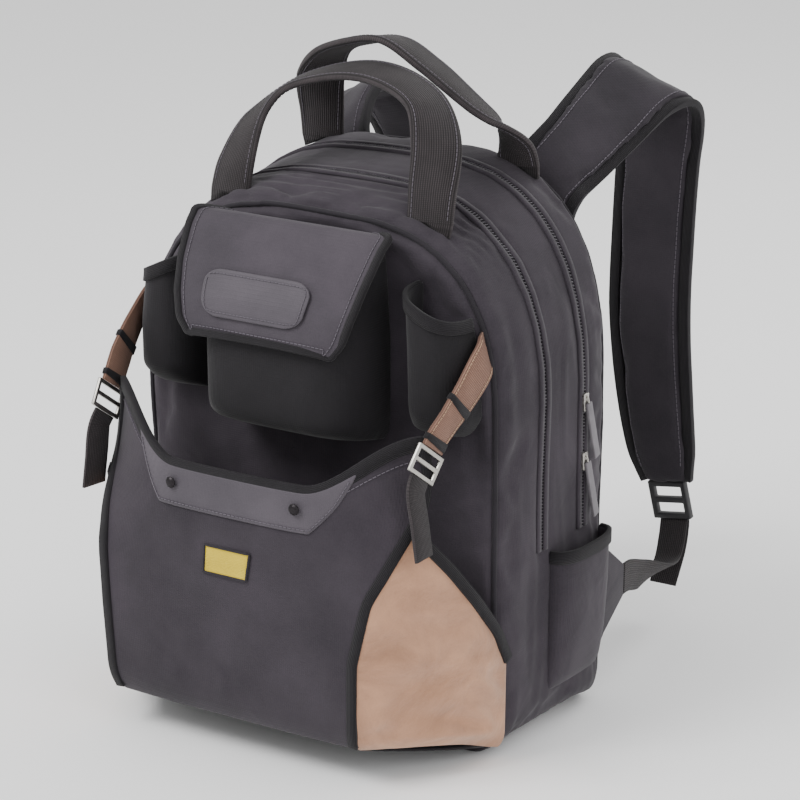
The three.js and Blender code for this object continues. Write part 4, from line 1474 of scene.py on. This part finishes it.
@dataclass
class ToolPocket:
    """A narrow pocket for tool handles, with a slanted mouth, in millimetres."""

    side: Side
    inner: float = 97
    width: float = 54
    reach: float = 40
    bottom: float = 252
    top: float = 366
    slant: float = 26

    def place(self, across: float, reach: float, rise: float) -> Vector:
        """A point of the pocket on the body.

        Args:
            across: from the pocket's middle, in millimetres.
            reach: out from the body, in millimetres.
            rise: up the pocket, from 0 to 1.

        Returns:
            The point in millimetres.
        """
        half = TOOL_POCKET.read("half", rise) * self.width / 2
        outer = (across + half) / self.width
        top = self.top - self.slant * outer
        return Vector((self.side.value * (self.inner + half + across), OUTLINE.front - 0.3 - reach,
                       mix(self.bottom, top, rise)))

    def build(self) -> None:
        """Builds the pocket."""
        word = self.side.word
        Cup(f"tool_pocket_cloth_{word}", f"tool_pocket_{word}", self.width, self.reach, 2.6, TOOL_POCKET,
            self.place, SHADOW_CLOTH).build()


@dataclass
class SidePouch:
    """A low pouch on the body's side, in millimetres."""

    side: Side
    front: float = -12
    back: float = 66
    bottom: float = 34
    top: float = 149
    reach: float = 18

    def place(self, across: float, reach: float, rise: float) -> Vector:
        """A point of the pouch, in millimetres."""
        y = (self.front + self.back) / 2 + across
        z = mix(self.bottom, self.top, rise)
        return Vector((self.side.value * (OUTLINE.side(y, z) + 1.5 + reach), y, z))

    def build(self) -> None:
        """Builds the pouch."""
        word = self.side.word
        Cup(f"side_pouch_cloth_{word}", f"side_pouch_{word}", self.back - self.front, self.reach, 3.0,
            SIDE_POUCH, self.place, BODY_CLOTH).build()


# The large front pocket


@dataclass
class FrontPocket:
    """The large open pocket: panel, trim, label, rivets, tan gussets and floor, in millimetres."""

    width: float = 258
    depth: float = 108
    bottom: float = 28
    corner_top: float = 268
    scoop_depth: float = 41
    scoop_flat: float = 0.42
    gusset_apex: float = 202
    gusset_rear_top: float = 93
    gusset_swell: float = 13
    gusset_overlap: float = 10
    trim_height: float = 34
    trim_top: float = 186
    trim_bottom: float = 130
    label_size: tuple[float, float] = (41, 21)
    label_rise: float = 159
    rows: Table = Table(("rise", "reach", "edge", "half", "lean"), (
        (0, 0.9, 0.88, 0.85, -0.05), (0.03, 0.97, 0.95, 0.87, -0.05), (0.1, 1, 0.98, 0.885, -0.05),
        (0.3, 1.03, 1, 0.9, -0.05), (0.5, 1.03, 0.97, 0.96, -0.03), (0.62, 1.01, 0.83, 1.03, -0.015),
        (0.78, 0.97, 0.58, 1.1, 0), (0.89, 0.94, 0.53, 1.1, 0), (1, 0.9, 0.55, 1.08, 0)))

    def top_at(self, u: float) -> float:
        """The height of the panel's top edge."""
        share = smooth_step((abs(u) - self.scoop_flat) / (1 - self.scoop_flat))
        return self.corner_top - self.scoop_depth * (1 - share)

    def point(self, u: float, z: float) -> Vector:
        """A point of the panel's outer face.

        Args:
            u: across it, from -1 to 1.
            z: the height in millimetres.

        Returns:
            The point in millimetres.
        """
        rise = (z - self.bottom) / (self.corner_top - self.bottom)
        reach = mix(self.rows.read("reach", rise), self.rows.read("edge", rise), abs(u) ** 3.2)
        x = (u * self.rows.read("half", rise) + self.rows.read("lean", rise)) * self.width / 2
        return Vector((x, OUTLINE.front - 0.3 - reach * self.depth, z))

    def panel(self, u: float, v: float) -> Vector:
        """A point of the panel by shares, in metres."""
        return self.point(u, mix(self.bottom, self.top_at(u), v)) * MM

    def trim(self, u: float, v: float) -> Vector:
        """A point of the trim's outer face.

        Args:
            u: across it, from -1 to 1.
            v: up it, from 0 to 1.

        Returns:
            The point in metres.
        """
        half = mix(self.trim_bottom, self.trim_top, v) / self.width
        low = self.top_at(0) - self.trim_height
        at = self.point(u * half, mix(low, self.top_at(u * half) - 4, v))
        return (at + Vector((0, -2.0, 0))) * MM

    def label(self, u: float, v: float) -> Vector:
        """A point of the label's outer face.

        Args:
            u: across it, from -1 to 1.
            v: up it, from 0 to 1.

        Returns:
            The point in metres.
        """
        width, height = self.label_size
        at = self.point(u * width / self.width, self.label_rise + (v - 0.5) * height)
        return (at + Vector((0, -1.6, 0))) * MM

    def gusset(self, side: Side, u: float, v: float) -> Vector:
        """A point of a side gusset's outer face, with its folds.

        Args:
            side: the bag's side.
            u: from the panel at -1 to the body at 1.
            v: up it, from 0 to 1.

        Returns:
            The point in metres.
        """
        s = (u + 1) / 2
        front = self.point(side.value, mix(self.bottom, self.gusset_apex, v))
        front.x *= side.value
        rear_y = OUTLINE.front + self.gusset_overlap
        rear_z = mix(OUTLINE.base_radius / 3, self.gusset_rear_top, v)
        rear = Vector((OUTLINE.side(rear_y, rear_z) + 1, rear_y, rear_z))
        at = front.lerp(rear, s)
        fullness = 0.45 + 0.55 * math.sin(math.pi * (0.1 + 0.8 * v))
        at.x += 2.6 + self.gusset_swell * math.sin(math.pi * s) * fullness
        inside = smooth_step(6 * s) * smooth_step(6 * (1 - s))
        deep = 1 - abs(noise.noise(Vector((at.y / 62, at.z / 20 + at.y / 70, 6.3 * side.value)))) * 2
        shallow = noise.noise(Vector((at.y / 36, at.z / 30, 2.9)))
        at.x += inside * mix(8.0, 1.4, v) * (deep + 0.8 * shallow - 0.4)
        at.x -= 5 * math.exp(-((s - 0.12) / 0.12) ** 2 - ((v - 0.08) / 0.1) ** 2)
        at.z += 6 * math.sin(math.pi * s) ** 2 * (1 - v) ** 4 - 9 * v ** 3 * s ** 6
        at.x *= side.value
        return at * MM

    def build_panel(self) -> BVHTree:
        """Makes the panel with its soft dents and bound edges.

        Returns:
            The panel's faces.
        """
        piece = sheet("pocket_panel_cloth", self.panel, (56, 48), 2.2, PANEL_CLOTH, ("front_pocket_panel",),
                      Vector((0, -1, 0)), smoothing=8)
        points = points_of(piece)
        x, _, z = points.T / MM
        dents = ripple(points, (90, 200, 70), 2.3) + 0.5 * ripple(points, (38, 80, 52), 9.1)
        points[:, 1] += 2.0 * dents * MM * np.clip((z - 26) / 30, 0, 1)
        set_points(piece, points)
        faces = surface_of(piece)
        steps = np.linspace(-1, 1, 48)
        top = [self.panel(u, 1) for u in steps]
        binding("pocket_top_binding", top, [Vector((0, 0, -1))] * len(top), 11, 4.4)
        for side in Side:
            rows = np.linspace(0.02, 0.97, 24)
            edge = [self.panel(side.value, v) + Vector((side.value * 1.2, 1.0, 0)) * MM for v in rows]
            inward = [self.panel(side.value * 0.9, v) - self.panel(side.value, v) for v in rows]
            binding(f"pocket_edge_binding_{side.word}", edge, inward, 8, 4.6)
        row = [self.panel(u, 0.93) for u in np.linspace(-0.97, 0.97, 60)]
        stitches("pocket_stitches", [onto(row, faces, 0.4)], THREAD)
        return faces

    def build_trim(self, faces: BVHTree) -> None:
        """Sews the trim, the label and the rivets on the panel.

        Args:
            faces: the panel's faces; not used.
        """
        sheet("pocket_trim_cloth", self.trim, (40, 12), 2.0, TRIM_CLOTH, ("front_pocket_trim",),
              Vector((0, -1, 0)))
        rim = [*[self.trim(u, 0.1) for u in np.linspace(-0.97, 0.97, 40)]]
        sides = [[self.trim(s * 0.96, v) for v in np.linspace(0.1, 0.95, 10)] for s in (-1, 1)]
        rows = [[p + Vector((0, -0.5, 0)) * MM for p in row] for row in (rim, *sides)]
        stitches("trim_stitches", rows, THREAD)
        sheet("label_cloth", self.label, (12, 8), 1.4, LABEL, ("pocket_label",), Vector((0, -1, 0)))
        edge = [self.label(u, v) + Vector((0, -0.1, 0)) * MM for u, v in around(1, 0, 1, 14)]
        tube("label_border", [edge], 1.0, BINDING_CLOTH, sides=2)
        for side in Side:
            shape = node_shape(f"trim_rivet_{side.word}")
            round_edges(shape, 0.25)
            bmesh.ops.translate(shape, vec=Vector((0, -1.2, 0)) * MM, verts=shape.verts)
            make_piece(f"rivet_{side.word}", shape, BLACKENED, (f"trim_rivet_{side.word}",))

    def build_gusset(self, side: Side) -> None:
        """Makes one tan gusset with its creases and bound top edge.

        Args:
            side: which side it is on.
        """
        sheet(f"gusset_suede_{side.word}", lambda u, v: self.gusset(side, u, v), (48, 56), 2.0, TAN_CLOTH,
              (f"pocket_gusset_{side.word}",), Vector((side.value, 0, 0)), smoothing=2)
        steps = np.linspace(-0.98, 1, 26)
        top = [self.gusset(side, u, 1) for u in steps]
        down = [self.gusset(side, u, 0.95) - self.gusset(side, u, 1) for u in steps]
        binding(f"gusset_top_binding_{side.word}", top, down, 9, 5.0)

    def build(self) -> None:
        """Builds the front pocket's pieces in order."""
        faces = self.build_panel()
        self.build_trim(faces)
        for side in Side:
            self.build_gusset(side)
        shape = node_shape("front_pocket_bottom")
        make_piece("pocket_floor_cloth", shape, SHADOW_CLOTH, ("front_pocket_bottom",))
        log.info("front pocket")


# Tan corner straps with their slides


def metal_frame(node: str, name: str, finish: Finish, rounding: float = 0.7) -> None:
    """Rounds the edges of a slide that the CAD gives square.

    Args:
        node: its CAD node.
        name: the piece's name.
        finish: what it is made of.
        rounding: the edges' radius in millimetres.
    """
    shape = node_shape(node)
    bmesh.ops.dissolve_limit(shape, angle_limit=math.radians(2), verts=shape.verts, edges=shape.edges)
    sharp = [edge for edge in shape.edges if edge.is_manifold and edge.calc_face_angle() > math.radians(30)]
    round_edges(shape, rounding, segments=3, edges=sharp)
    make_piece(name, shape, finish, (node,))


@dataclass
class CornerStrap:
    """A tan strap from the body to the pocket's corner, its metal slide and dark tail, in millimetres."""

    side: Side
    pocket: FrontPocket
    width: float = 27
    top: float = 322
    wall: float = 2.6
    slide_length: float = 22
    tail_length: float = 62
    tail_width: float = 24
    tuck: float = 5

    def stops(self) -> list[Stop]:
        """The strap's places, as in the part.

        Returns:
            The stops in metres.
        """
        sign = self.side.value
        root_y = OUTLINE.front + OUTLINE.edge_radius / 3
        root_x = OUTLINE.side(root_y, self.top) + 1.05 + self.wall / 2
        slope = OUTLINE.side(root_y, self.top + 10) - OUTLINE.side(root_y, self.top - 10)
        seam = Vector((sign * slope, 0, 20)).normalized()
        slanted = Vector((0, -0.75, 0.66))
        corner = self.pocket.point(1, self.pocket.corner_top)
        out = corner.x + 3.2 * self.wall
        rows = ((0, 0, 0, 0), (0.2, 0.14, 0.02, 0.15), (0.5, 0.45, 0.06, 0.6), (0.8, 0.78, 0.5, 1),
                (0.98, 1, 0.9, 1), (1.05, 1.12, 1, 1))
        found = []
        for forward, down, outward, turn in rows:
            sewn = forward == 0
            at = Vector((sign * (mix(root_x, out, outward) - (self.tuck if sewn else 0)),
                         mix(root_y, corner.y, forward), mix(self.top, self.pocket.corner_top, down)))
            found.append(Stop(at * MM, seam.lerp(slanted, turn), self.width * MM, sewn=sewn))
        return found

    def build(self) -> None:
        """Builds the strap, slide and tail."""
        word = self.side.word
        stops = self.stops()
        strap = Ribbon(stops, self.wall, count=40)
        strap.build(f"corner_strap_{word}", TAN_WEBBING, (f"pocket_strap_{word}",))
        lift = self.wall / 2 + 0.2
        sign = -1 if strap.frames()[20][2].x * self.side.value < 0 else 1
        rows = [strap.line(share, sign * lift, 0.05, 0.9) for share in (-0.82, 0.82)]
        stitches(f"corner_strap_stitches_{word}", rows, TAN_THREAD, pitch=3.2, radius=0.35)
        for place in (0.5, 0.86):
            at, across, _, width = strap.frames()[int(place * strap.count)]
            ahead = strap.frames()[int(place * strap.count) + 1][0] - at
            ahead = ahead.normalized() * 3 * MM
            keeper = [Stop(end, across, width + 1.5 * MM) for end in (at - ahead, at + ahead)]
            name = f"corner_keeper_{word}_{int(100 * place)}"
            Ribbon(keeper, self.wall + 1.8, count=2).build(name, BINDING)
        metal_frame(f"pocket_buckle_{word}", f"corner_slide_{word}", NICKEL)
        along = (stops[-1].at - stops[-2].at).normalized()
        across = stops[-1].across - along * stops[-1].across.dot(along)
        start = stops[-1].at + along * (self.slide_length + 1.5) * MM
        rows = []
        for share in (0, 0.2, 0.6, 1):
            at = start + along * 10 * MM * min(1, 5 * share)
            at.x += self.side.value * 9 * share * MM
            at.z -= max(0, share - 0.2) * self.tail_length * MM
            rows.append(Stop(at, across, self.tail_width * MM))
        Ribbon(rows, self.wall, count=24).build(f"corner_tail_{word}", WEBBING, (f"pocket_tail_{word}",))
        log.info("corner strap %s", word)


# Carry handles


# Rows from a foot to the middle: span, rise, lean and turn
Leg = tuple[tuple[float, float, float, float], ...]


@dataclass
class CarryHandle:
    """A handle of folded webbing that arches over the body, in millimetres."""

    name: str
    foot_y: float
    apex_y: float
    rise: float
    seat: float
    legs: tuple[Leg, Leg]
    span: float = 184
    width: float = 38
    wall: float = 5

    def build(self) -> None:
        """Builds the handle with its sewn edges."""
        half = OUTLINE.loop(self.foot_y)
        crown = [p / MM for p in half[:len(OUTLINE.half(self.foot_y))] if p.z > 0.3]
        xs = [p.x for p in crown][::-1]
        zs = [p.z for p in crown][::-1]
        foot_x = self.span / 2
        foot_z = float(np.interp(foot_x, xs, zs))
        slope = float(np.interp(foot_x - 3, xs, zs)) - float(np.interp(foot_x + 3, xs, zs))
        across = Vector((6, 0, -slope)).normalized()
        edge_up = Vector((0, math.copysign(1, self.apex_y - self.foot_y), 0.15))
        stops = []
        for sign, leg in zip((1, -1), self.legs):
            rows = [Stop(Vector((sign * span * foot_x, mix(self.foot_y, self.apex_y, lean),
                                 foot_z + self.seat + rise * self.rise)) * MM,
                         Vector((sign * across.x, 0, across.z)).lerp(edge_up, turn), self.width * MM,
                         sewn=True)
                    for span, rise, lean, turn in leg]
            stops += rows if sign > 0 else rows[:-1][::-1]
        ribbon = Ribbon(stops, self.wall, count=90)
        ribbon.build(f"{self.name}_webbing", WEBBING, (self.name,))
        rows = [ribbon.line(share, lift, 0.03, 0.97) for share in (-0.8, 0.8)
                for lift in (self.wall / 2 + 0.1, -self.wall / 2 - 0.1)]
        stitches(f"{self.name}_stitches", rows, THREAD, pitch=3.8, radius=0.4)
        log.info("%s", self.name)


SQUARE_LEG = ((1, 0, 0, 0), (0.98, 0.25, 0.12, 0.05), (0.91, 0.57, 0.4, 0.3), (0.71, 0.82, 0.72, 0.7),
              (0.38, 0.95, 0.93, 0.95), (0, 1, 1, 1))
STRAIGHT_LEG = ((1, 0, 0, 0), (0.98, 0.16, 0.08, 0.05), (0.88, 0.32, 0.2, 0.3), (0.66, 0.5, 0.4, 0.7),
                (0.32, 0.81, 0.8, 0.95), (0, 1, 1, 1))


# Shoulder straps

STANDING_STRAP = (
    (0.82, 0, 0.7, 10, 0.84), (0.84, 0.01, 0.78, 26, 0.84), (0.89, 0.06, 0.84, 44, 0.84),
    (0.95, 0.2, 0.888, 48, 0.86), (0.99, 0.42, 0.948, 42, 0.93), (1.03, 0.64, 1, 31, 1),
    (1.05, 0.79, 0.985, 20, 1), (1.02, 0.88, 0.92, 7, 1), (0.95, 0.92, 0.8, -4, 1),
    (0.91, 0.93, 0.6, -5, 1), (0.9, 0.93, 0.42, -3, 1), (0.93, 0.955, 0.23, 0, 0.96),
    (0.98, 0.98, 0.08, 0, 0.86), (1.02, 1, 0, 0, 0.64))
SAGGING_STRAP = (
    (0.82, 0, 0.75, 10, 0.84), (0.85, 0.01, 0.83, 24, 0.84), (0.92, 0.08, 0.9, 38, 0.84),
    (0.99, 0.24, 0.96, 38, 0.88), (1.04, 0.42, 1, 32, 0.95), (1.06, 0.6, 0.995, 24, 1),
    (1.03, 0.78, 0.955, 14, 1), (0.98, 0.9, 0.88, 6, 1), (0.93, 0.95, 0.77, -2, 1),
    (0.9, 0.96, 0.6, -4, 1), (0.9, 0.95, 0.42, -3, 1), (0.93, 0.965, 0.23, 0, 0.96),
    (0.98, 0.985, 0.08, 0, 0.86), (1.02, 1, 0, 0, 0.64))


@dataclass
class ShoulderStrap:
    """A padded strap, its slide, lower webbing, tail and tab, in millimetres."""

    side: Side
    rows: tuple[tuple[float, float, float, float, float], ...]
    reach: float
    crest: float
    width: float = 72
    wall: float = 10
    spacing: float = 110
    end: float = 120
    back_padding: float = 5
    slide_length: float = 34
    webbing_width: float = 26
    webbing_sag: float = 30
    webbing_wall: float = 2.6
    tab_height: float = 110
    tab_reach: float = 46
    tab_rise: float = 28
    tail_end: float = 32
    tail_lean: float = 20

    def stops(self, shrink: float = 0.0) -> list[Stop]:
        """The strap's places, as in the part.

        Args:
            shrink: how much narrower it starts, in millimetres.

        Returns:
            The stops in metres.
        """
        sign = self.side.value
        root = OUTLINE.back + self.back_padding + 0.3 + self.wall / 2
        found = []
        for out, back, rise, tilt, width in self.rows:
            turn = math.radians(tilt)
            height = mix(self.end, self.crest, rise)
            at = Vector((sign * out * self.spacing, root + back * self.reach, height))
            found.append(Stop(at * MM, Vector((sign * math.cos(turn), 0, -math.sin(turn))),
                              (width * self.width - shrink) * MM))
        return found

    def build_pad(self) -> None:
        """Makes the pad, filled by simulation, with bound edges and stitched channels."""
        word = self.side.word
        pad = Ribbon(self.stops(shrink=4), self.wall - 2, count=80, section=Section.PADDED)
        piece = pad.build(f"strap_pad_{word}", STRAP_CLOTH, (f"shoulder_strap_{word}",))
        Inflation(voxel=4.0, pressure=4.0, cap=3.0, slack=0.03).run(piece)
        subdivide(piece, 1)
        ribbon = Ribbon(self.stops(), self.wall, count=90)
        points = points_of(piece)
        normals = normals_of(piece)
        lines = [p for share in (-0.72, 0.72) for p in even_path(ribbon.line(share, 0), 3)]
        move = -1.6 * near_path(points, lines, 7)
        move += 0.9 * ripple(points, (50, 26, 26), 7.7)
        set_points(piece, points + normals * move[:, None] * MM)
        faces = surface_of(piece)
        for share, name in ((-1, "inner"), (1, "outer")):
            frames = ribbon.frames()[::3]
            rim = [at + side * share * (width / 2 + 0.4 * MM) for at, side, _, width in frames]
            inward = [side * -share for _, side, _, _ in frames]
            binding(f"strap_{name}_binding_{word}", rim, inward, 9, 6.0)
        rows = []
        for share in (-0.72, 0.72):
            for lift in (6, -6):
                rows.append(onto(ribbon.line(share, lift, 0.02, 0.97), faces, 0.3))
        stitches(f"strap_stitches_{word}", rows, THREAD, pitch=4.0)

    def build_fittings(self) -> None:
        """Makes the slide, the lower webbing, its tail and the tab that holds it."""
        word = self.side.word
        sign = self.side.value
        metal_frame(f"strap_buckle_{word}", f"strap_slide_{word}", PLASTIC, rounding=1.2)
        stops = self.stops()
        down = (stops[-1].at - stops[-2].at).normalized()
        across = Vector((sign, 0, 0))
        across = (across - down * across.dot(down)).normalized()
        middle = stops[-1].at + down * (self.slide_length / 2 + 0.9) * MM
        leave = middle + down * (self.slide_length / 2 + 0.9) * MM
        tab_x = sign * (OUTLINE.width / 2 - 0.75 * OUTLINE.edge_radius)
        tab_z = self.tab_rise + self.tab_height / 2
        tab_end = Vector((tab_x, OUTLINE.back + 0.9 + self.tab_reach, tab_z)) * MM
        rows = ((0, 0, 0), (0.03, 0.4, 0), (0.12, 0.95, 0.1), (0.3, 1, 0.3), (0.65, 0.5, 0.8),
                (0.9, 0.08, 1), (1, 0, 1))
        hanging = [Stop(leave.lerp(tab_end, share) - Vector((0, 0, sag * self.webbing_sag)) * MM,
                        across.lerp(Vector((0, 0, 1)), upright), self.webbing_width * MM, sewn=True)
                   for share, sag, upright in rows]
        lower = Ribbon(hanging, self.webbing_wall, count=50)
        lower.build(f"lower_strap_{word}", WEBBING, (f"lower_webbing_{word}",))
        start = leave + Vector((0, self.webbing_wall + 0.4, 0)) * MM
        tail = []
        for share in (0, 0.15, 0.5, 1):
            lean = self.tail_lean * MM * share ** 2
            at = Vector((start.x, start.y - lean, mix(start.z, self.tail_end * MM, share)))
            tail.append(Stop(at, across, self.webbing_width * MM, sewn=share == 0))
        loose = Ribbon(tail, self.webbing_wall, count=24)
        loose.build(f"strap_tail_{word}", WEBBING, (f"webbing_tail_{word}",))
        tab = node_shape(f"webbing_tab_{word}")
        round_edges(tab, 0.8)
        make_piece(f"tab_cloth_{word}", tab, BODY_CLOTH, (f"webbing_tab_{word}",))

    def build(self) -> None:
        """Builds the strap's pieces in order."""
        self.build_pad()
        self.build_fittings()
        log.info("shoulder strap %s", self.side.word)


@dataclass
class BackPanel:
    """The padded back with its sewn channels, in millimetres."""

    channels: tuple[float, ...] = (-62, 62)

    def build(self) -> None:
        """Fills the pad by simulation and sews its channels."""
        shape = bmesh.new()
        shape.from_mesh(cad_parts["back_panel"].data)
        bmesh.ops.remove_doubles(shape, verts=shape.verts, dist=0.01 * MM)
        piece = make_piece("back_pad", shape, PADDING, ("back_panel",))
        Inflation(voxel=4.0, pressure=3.0, cap=4.0, slack=0.03).run(piece)
        subdivide(piece, 1)
        points = points_of(piece)
        x, y, z = points.T / MM
        outer = y > OUTLINE.back + 1
        move = sum(np.exp(-((x - at) / 5) ** 2) for at in self.channels)
        move = move + sum(np.exp(-((z - at) / 5) ** 2) * (np.abs(x) < 62) for at in (120, 300))
        points[:, 1] -= np.where(outer, 3.2 * move, 0) * MM
        set_points(piece, points)
        faces = surface_of(piece)
        rows = [[Vector((at + shift, OUTLINE.back + 30, z)) * MM for z in np.linspace(30, 385, 90)]
                for at in self.channels for shift in (-6, 6)]
        laid = [onto(row, faces, 0.3) for row in rows]
        stitches("back_stitches", laid, THREAD, pitch=4.0)
        log.info("back panel")


# Floor, lights and camera


@dataclass
class Studio:
    """A pale floor, soft light and the camera at the photograph's angle."""

    azimuth: float = 34.1
    elevation: float = 16.8
    distance: float = 2.4806
    lens: float = 142.75
    target: tuple[float, float, float] = (0.01615, 0.01093, 0.2381)

    def direction(self) -> Vector:
        """The way from the target to the camera."""
        a, e = math.radians(self.azimuth), math.radians(self.elevation)
        return Vector((math.sin(a) * math.cos(e), -math.cos(a) * math.cos(e), math.sin(e)))

    def add_camera(self) -> None:
        """Places the camera."""
        data = bpy.data.cameras.new("camera")
        data.lens = self.lens
        data.sensor_width = 36
        data.clip_end = 50
        camera = bpy.data.objects.new("camera", data)
        camera.location = Vector(self.target) + self.direction() * self.distance
        camera.rotation_euler = (-self.direction()).to_track_quat("-Z", "Y").to_euler()
        bpy.context.scene.collection.objects.link(camera)
        bpy.context.scene.camera = camera

    def add_light(self, name: str, at: tuple[float, float, float], size: float, watts: float) -> None:
        """Hangs one soft light that faces the bag.

        Args:
            name: the light's name.
            at: its place in metres.
            size: its side in metres.
            watts: its power.
        """
        data = bpy.data.lights.new(name, "AREA")
        data.size = size
        data.energy = watts
        light = bpy.data.objects.new(name, data)
        light.location = at
        light.rotation_euler = (Vector((0, 0, 0.2)) - Vector(at)).to_track_quat("-Z", "Y").to_euler()
        bpy.context.scene.collection.objects.link(light)

    def add_floor(self) -> None:
        """Lays a pale floor."""
        shape = bmesh.new()
        bmesh.ops.create_grid(shape, x_segments=2, y_segments=2, size=6.0)
        mesh = bpy.data.meshes.new("floor")
        shape.to_mesh(mesh)
        shape.free()
        paint = bpy.data.materials.new("pale_paper")
        paint.use_nodes = True
        shader = paint.node_tree.nodes["Principled BSDF"]
        shader.inputs["Base Color"].default_value = linear("#fbfbfb")
        shader.inputs["Roughness"].default_value = 0.9
        mesh.materials.append(paint)
        floor = bpy.data.objects.new("floor", mesh)
        bpy.context.scene.collection.objects.link(floor)

    def build(self) -> None:
        """Sets the camera, floor and lights."""
        self.add_camera()
        self.add_floor()
        world = bpy.data.worlds.new("studio")
        bpy.context.scene.world = world
        world.use_nodes = True
        world.node_tree.nodes["Background"].inputs["Color"].default_value = linear("#ffffff")
        world.node_tree.nodes["Background"].inputs["Strength"].default_value = 1.0
        self.add_light("key", (-0.9, -1.6, 2.2), 1.2, 60)
        self.add_light("fill", (2.2, -0.9, 1.2), 1.6, 16)
        self.add_light("back", (0.6, 2.0, 1.8), 1.4, 22)
        log.info("studio")


def main() -> None:
    """Builds the bag's sub-assemblies in order and sets the studio."""
    logging.basicConfig(level=logging.INFO, format="%(name)s: %(message)s")
    Body().build()
    for number in (1, 2, 3):
        ZipSlider(number).build()
    BackPanel().build()
    UpperPocket().build()
    pocket = FrontPocket()
    pocket.build()
    for side in Side:
        ToolPocket(side).build()
        SidePouch(side).build()
        CornerStrap(side, pocket).build()
    CarryHandle("front_handle", OUTLINE.front + 17, -9.5, 98, 1.6, (SQUARE_LEG, SQUARE_LEG)).build()
    CarryHandle("rear_handle", OUTLINE.back - 17, 25, 94, 2.3, (STRAIGHT_LEG, SQUARE_LEG)).build()
    ShoulderStrap(Side.RIGHT, STANDING_STRAP, 180, 468).build()
    ShoulderStrap(Side.LEFT, SAGGING_STRAP, 135, 446).build()
    Studio().build()


if __name__ == "__main__":
    main()
